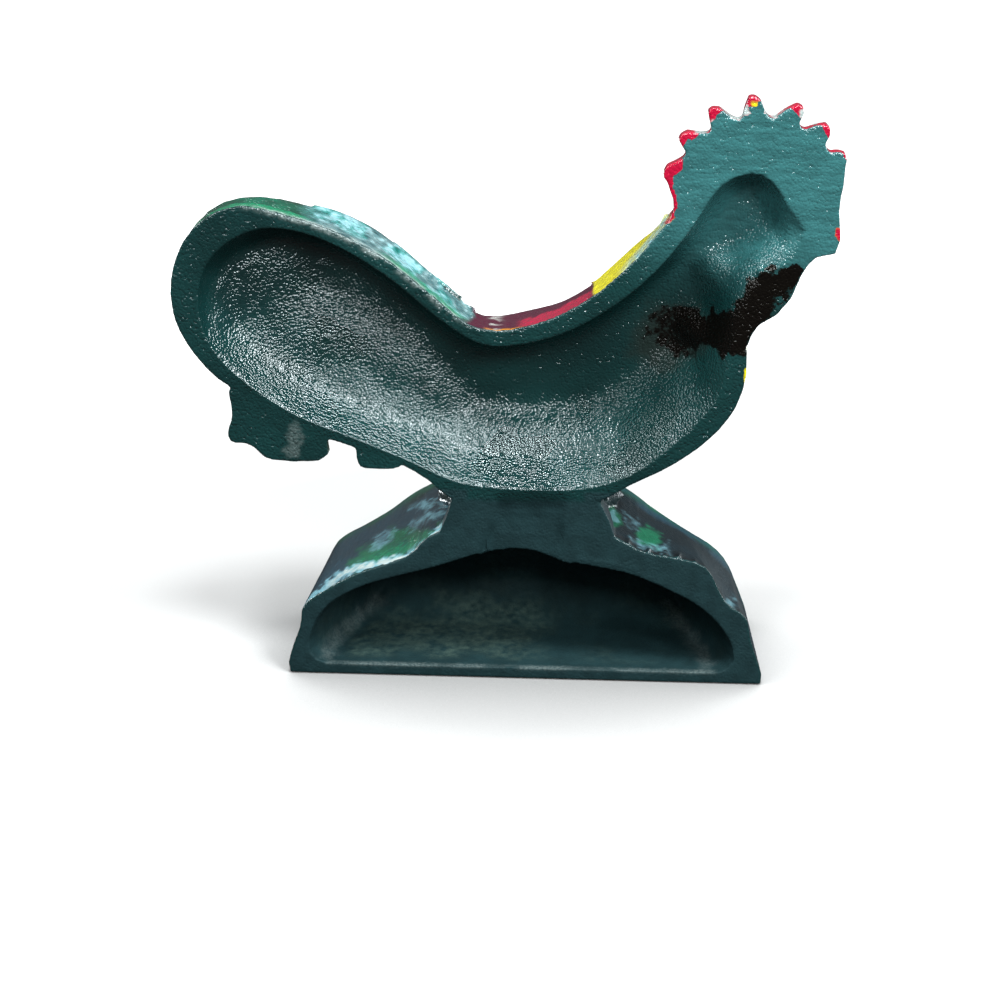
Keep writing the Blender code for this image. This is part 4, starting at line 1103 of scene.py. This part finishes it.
def enamel(name):
    """Brushed gloss enamel on sand-cast iron.

    The sand's grains show through the paint as a pebbled gloss, each with a pinpoint of
    light. The coat is thin and pale on the head, thick and dark on the body, dull on the
    base and rubbed pale along raised edges, with pale highlights painted in the base's hollow. The stain
    is bare, sooty iron without gloss.
    """
    material, tree, shader = principled(name)
    tune(shader, Coat_Roughness=0.09, Coat_IOR=1.6, Specular_IOR_Level=0.2,
         Specular_Tint=(0.72, 0.96, 1.0, 1.0))
    where = add(tree, "ShaderNodeTexCoord").outputs["Object"]
    drawn_out = add(tree, "ShaderNodeMapping", links={"Vector": where}, Scale=(0.22, 1.0, 1.0))

    def noise(size, detail=2.0, rough=0.5, at=where):
        return add(tree, "ShaderNodeTexNoise", links={"Vector": at}, Scale=per_mm(size),
                   Detail=detail, Roughness=rough).outputs["Fac"]

    grain, lumps, cloud = noise(GRAIN, 2.0, 0.6), noise(LUMP), noise(CLOUD, 3.0)
    cell = add(tree, "ShaderNodeTexVoronoi", links={"Vector": where}, Scale=per_mm(PEBBLE))
    pebbles = times(tree, cell.outputs["Distance"], cell.outputs["Distance"])
    strokes = noise(STROKE, at=drawn_out.outputs[0])
    kinds = ("front", "thin", "matt", "dusty", "smear", "stain", "worn", "coarse")
    mask = {kind: attribute(tree, kind) for kind in kinds}
    colours = bpy.context.scene.doorstop_colours

    def broken(kind, pattern, low, high, reach=0.5):
        """A mask whose edge is broken up by a pattern."""
        edge = times(tree, about_nought(tree, pattern), reach)
        return stepped(tree, sums(tree, "ADD", mask[kind], edge), low, high)

    def mottled(name, share, pattern, low=0.35, high=0.62):
        """A coat that a pattern darkens in places, to a share of its colour."""
        full = tuple(getattr(colours, name))
        return blend(tree, tuple(share * c for c in full), full, stepped(tree, pattern, low, high))

    back = mottled("back_dark", 0.6, cloud)
    back = blend(tree, back, mottled("back_light", 0.72, strokes), mask["thin"])
    patina = mottled("base_dark", 0.78, noise(PATINA, 3.0, 0.6), 0.4, 0.6)
    back = blend(tree, back, patina, mask["matt"])
    dusty = times(tree, mask["dusty"], stepped(tree, lumps, 0.3, 0.7))
    back = blend(tree, back, tuple(colours.dust), times(tree, dusty, 0.6))
    back = blend(tree, back, tuple(colours.umber), times(tree, mask["smear"], 0.5))
    stained = broken("stain", sums(tree, "ADD", grain, about_nought(tree, lumps)),
                     0.35, 0.62, 0.9)
    back = blend(tree, back, tuple(colours.stain), stained)
    tree.links.new(times(tree, stained, 0.7), shader.inputs["Metallic"])
    # Pale scuff where edges are worn and where highlights are painted
    worn = times(tree, mask["worn"], stepped(tree, grain, 0.36, 0.6, 0.35, 1.0))
    back = blend(tree, back, tuple(colours.scuff), times(tree, worn, 0.6))
    paint = blend(tree, attribute(tree, "coat", "Color"), tuple(0.35 * c for c in colours.navy),
                  stepped(tree, lumps, 0.35, 0.7, 0.22, 0.0))
    whole = blend(tree, back, paint, broken("front", grain, 0.38, 0.62))
    tree.links.new(whole, shader.inputs["Base Color"])

    tree.links.new(stepped(tree, sums(tree, "MAXIMUM", mask["matt"], times(tree, stained, 0.6)),
                           0.0, 1.0, 1.0, 0.0), shader.inputs["Coat Weight"])
    rough = stepped(tree, mask["matt"], 0.0, 1.0, 0.2, 0.62)
    rough = sums(tree, "ADD", rough, times(tree, about_nought(tree, lumps), 0.12))
    tree.links.new(rough, shader.inputs["Roughness"])

    depth = times(tree, mask["coarse"], stepped(tree, lumps, 0.35, 0.65, 0.5, 1.0))
    fine_bump = add(tree, "ShaderNodeBump", Distance=PEBBLE_BUMP, invert=True,
                    links={"Height": pebbles, "Strength": depth})
    brushed = add(tree, "ShaderNodeBump", Distance=STROKE_BUMP,
                  links={"Height": strokes, "Strength": mask["thin"],
                         "Normal": fine_bump.outputs[0]})
    bump = add(tree, "ShaderNodeBump", Distance=LUMP_BUMP, Strength=0.8,
               links={"Height": lumps, "Normal": brushed.outputs[0]})
    tree.links.new(bump.outputs[0], shader.inputs["Normal"])
    tree.links.new(bump.outputs[0], shader.inputs["Coat Normal"])
    return material


class DOORSTOP_OT_sections(bpy.types.Operator):
    """Parts the painted skin into one piece for each solid that it stands for"""
    bl_idname = "doorstop.sections"
    bl_label = "Sections"

    def execute(self, context):
        skin = bpy.data.objects[CAST]
        mesh = skin.data
        # The base is the largest piece, and its flattest faces are merged to keep it light
        low = skin.vertex_groups.new(name="base")
        low.add([v.index for v in mesh.vertices if v.co.z < BASE_TOP], 1.0, "REPLACE")
        finish_with(skin, "DECIMATE", ratio=THINNED, vertex_group="base",
                    vertex_group_factor=ONLY_BASE)
        skin.vertex_groups.clear()
        names = sorted(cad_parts)
        tree, owners = solids_tree(*names)
        nearest = [names.index(owners[tree.find_nearest(face.center)[2]])
                   for face in mesh.polygons]
        mesh.materials.clear()
        for name in names:
            mesh.materials.append(enamel(ENAMEL + name))
        mesh.polygons.foreach_set("material_index", nearest)
        only(skin)
        bpy.ops.object.mode_set(mode="EDIT")
        bpy.ops.mesh.separate(type="MATERIAL")
        bpy.ops.object.mode_set(mode="OBJECT")
        for piece in list(context.selected_objects):
            name = piece.data.materials[0].name.removeprefix(ENAMEL)
            piece.name = piece.data.name = name + "_casting"
            normals = np.empty(len(piece.data.vertices) * 3, np.float32)
            kept = piece.data.attributes["skin_normal"]
            kept.data.foreach_get("vector", normals)
            piece.data.attributes.remove(kept)
            piece.data.normals_split_custom_set_from_vertices(normals.reshape(-1, 3).tolist())
            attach(piece, "root")
            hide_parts(name)
        return {"FINISHED"}


# Stage

# The point that the lamps face, and each lamp's name, its degrees right of straight behind
# and above level, its distance and size in metres, and its power in watts
MIDDLE = Vector((0.0, 0.0, 0.08))
LAMPS = (
    ("key", 4, 32, 0.9, (0.15, 0.15), 2.2),
    ("key_right", 38, 30, 0.9, (0.2, 0.2), 3.4),
    ("key_left", -38, 30, 0.9, (0.2, 0.2), 0.8),
    ("right", 54, 49, 0.8, (0.26, 0.20), 4.2),
    ("overhead", 2, 67, 0.8, (0.15, 0.15), 3.8),
    ("left", -76, 48, 0.8, (0.26, 0.22), 2.2),
    ("top", 180, 72, 0.8, (0.30, 0.20), 1.8),
    ("front_right", 126, 6, 0.9, (0.30, 0.40), 4.2),
    ("front_left", -126, 6, 0.9, (0.30, 0.40), 4.2),
)

# What the camera looks at, its degrees and distance from there, and its lens in mm
AIM = Vector((-0.0075, BACK_Y, 0.058))
CAMERA_WAY, CAMERA_REACH, LENS = (3.3, 22.0), 0.6, 73.8

# The floor's width and its drop under the base in metres, and its colours: a painted grey shade where the
# object closes it in, where it lies open, and for rays that don't see it straight
FLOOR_WIDTH, FLOOR_DROP = 6.0, 0.0004
PAINTED_SHADE_GREY, OPEN, UNSEEN = (0.31, 0.3, 0.295), (0.67, 0.645, 0.635), (0.01, 0.01, 0.01)
WHITE = (1, 1, 1, 1)


def towards(turn, rise):
    """The way from the object at degrees right of straight behind and above level."""
    turn, rise = math.radians(turn), math.radians(rise)
    return Vector((math.sin(turn) * math.cos(rise), -math.cos(turn) * math.cos(rise),
                   math.sin(rise)))


def facing(way):
    """The rotation of a lamp or camera that looks along a way."""
    return way.to_track_quat("-Z", "Y").to_euler()


def softbox(name, turn, rise, reach, size, power):
    """A rectangular soft light that faces the object's middle."""
    way = towards(turn, rise)
    bpy.ops.object.light_add(type="AREA", location=MIDDLE + reach * way)
    lamp = bpy.context.view_layer.objects.active
    lamp.name = name + "_softbox"
    lamp.rotation_euler = facing(-way)
    lamp.data.shape = "RECTANGLE"
    lamp.data.size, lamp.data.size_y = size
    lamp.data.energy = power
    lamp.data.color = DAYLIGHT


def background_rays(tree):
    """How white the background is for a ray: in full seen straight, faintly in enamel's gloss."""
    path = add(tree, "ShaderNodeLightPath").outputs
    gloss = times(tree, path["Is Glossy Ray"], GLOSS_SHARE)
    straight = sums(tree, "MAXIMUM", path["Is Camera Ray"], path["Is Transmission Ray"])
    return sums(tree, "MAXIMUM", straight, gloss)


def white_paper():
    """Matt white paper: plain white to the eye, with a soft grey shade painted close to the object where
    an ambient occlusion node finds it closed in.
    """
    paper, tree, shader = principled("white_paper")
    tune(shader, Roughness=0.9, Specular_IOR_Level=0.0, Emission_Color=WHITE)
    shown = background_rays(tree)
    reach = add(tree, "ShaderNodeVectorMath", operation="LENGTH", links={
        0: add(tree, "ShaderNodeTexCoord").outputs["Object"]}).outputs["Value"]
    away = stepped(tree, reach, 0.16, 0.4)
    open_sky = add(tree, "ShaderNodeAmbientOcclusion", Distance=0.09, samples=8).outputs["AO"]
    # Painted shade: the paper's colour turns grey where the object closes it in
    near = blend(tree, PAINTED_SHADE_GREY, OPEN, stepped(tree, open_sky, 0.45, 0.97))
    tree.links.new(blend(tree, UNSEEN, near, shown), shader.inputs["Base Color"])
    tree.links.new(times(tree, shown, stepped(tree, away, 0.0, 1.0, 0.03, 1.0)),
                   shader.inputs["Emission Strength"])
    return paper


class DOORSTOP_OT_stage(bpy.types.Operator):
    """Adds the floor, the soft lights and the camera at the photographed angle"""
    bl_idname = "doorstop.stage"
    bl_label = "Stage"

    def execute(self, context):
        scene = context.scene
        scene.view_settings.view_transform = "Standard"
        bpy.ops.object.select_all(action="DESELECT")
        bpy.ops.mesh.primitive_plane_add(size=FLOOR_WIDTH, location=(0, 0, -FLOOR_DROP))
        floor = context.view_layer.objects.active
        floor.name = "floor"
        floor.data.materials.append(white_paper())

        world = scene.world or bpy.data.worlds.new("world")
        scene.world = world
        world.use_nodes = True
        tree = world.node_tree
        tree.nodes.clear()
        shown = stepped(tree, background_rays(tree), 0.0, 1.0, 0.1, 1.0)
        sky = add(tree, "ShaderNodeBackground", links={"Strength": shown}, Color=WHITE)
        add(tree, "ShaderNodeOutputWorld", links={"Surface": sky.outputs[0]})

        for lamp in LAMPS:
            softbox(*lamp)

        eye = AIM + CAMERA_REACH * towards(*CAMERA_WAY)
        bpy.ops.object.camera_add(location=eye)
        camera = context.view_layer.objects.active
        camera.name = "camera"
        camera.rotation_euler = facing(AIM - eye)
        camera.data.lens = LENS
        camera.data.sensor_width = 36.0
        camera.data.clip_start = 0.01
        scene.camera = camera
        return {"FINISHED"}


STEPS = (
    DOORSTOP_OT_blank, DOORSTOP_OT_tail_plumes, DOORSTOP_OT_body_feathers,
    DOORSTOP_OT_head_relief, DOORSTOP_OT_ground_relief, DOORSTOP_OT_hollow_marks,
    DOORSTOP_OT_fuse, DOORSTOP_OT_paint, DOORSTOP_OT_sections, DOORSTOP_OT_stage,
)


class DOORSTOP_PT_panel(bpy.types.Panel):
    """The doorstop's steps and settings"""
    bl_idname = "DOORSTOP_PT_panel"
    bl_label = "Rooster doorstop"
    bl_space_type = "VIEW_3D"
    bl_region_type = "UI"
    bl_category = "Doorstop"

    def draw(self, context):
        for step in STEPS:
            self.layout.operator(step.bl_idname)
        for group in (context.scene.doorstop_sizes, context.scene.doorstop_colours):
            box = self.layout.box()
            for name in group.__annotations__:
                box.prop(group, name)


CLASSES = (CastingSizes, EnamelColours, *STEPS, DOORSTOP_PT_panel)


def register():
    for cls in CLASSES:
        bpy.utils.register_class(cls)
    bpy.types.Scene.doorstop_sizes = PointerProperty(type=CastingSizes)
    bpy.types.Scene.doorstop_colours = PointerProperty(type=EnamelColours)


def unregister():
    del bpy.types.Scene.doorstop_colours
    del bpy.types.Scene.doorstop_sizes
    for cls in reversed(CLASSES):
        bpy.utils.unregister_class(cls)


def main():
    register()
    for step in STEPS:
        group, name = step.bl_idname.split(".")
        getattr(getattr(bpy.ops, group), name)()


if __name__ == "__main__":
    main()
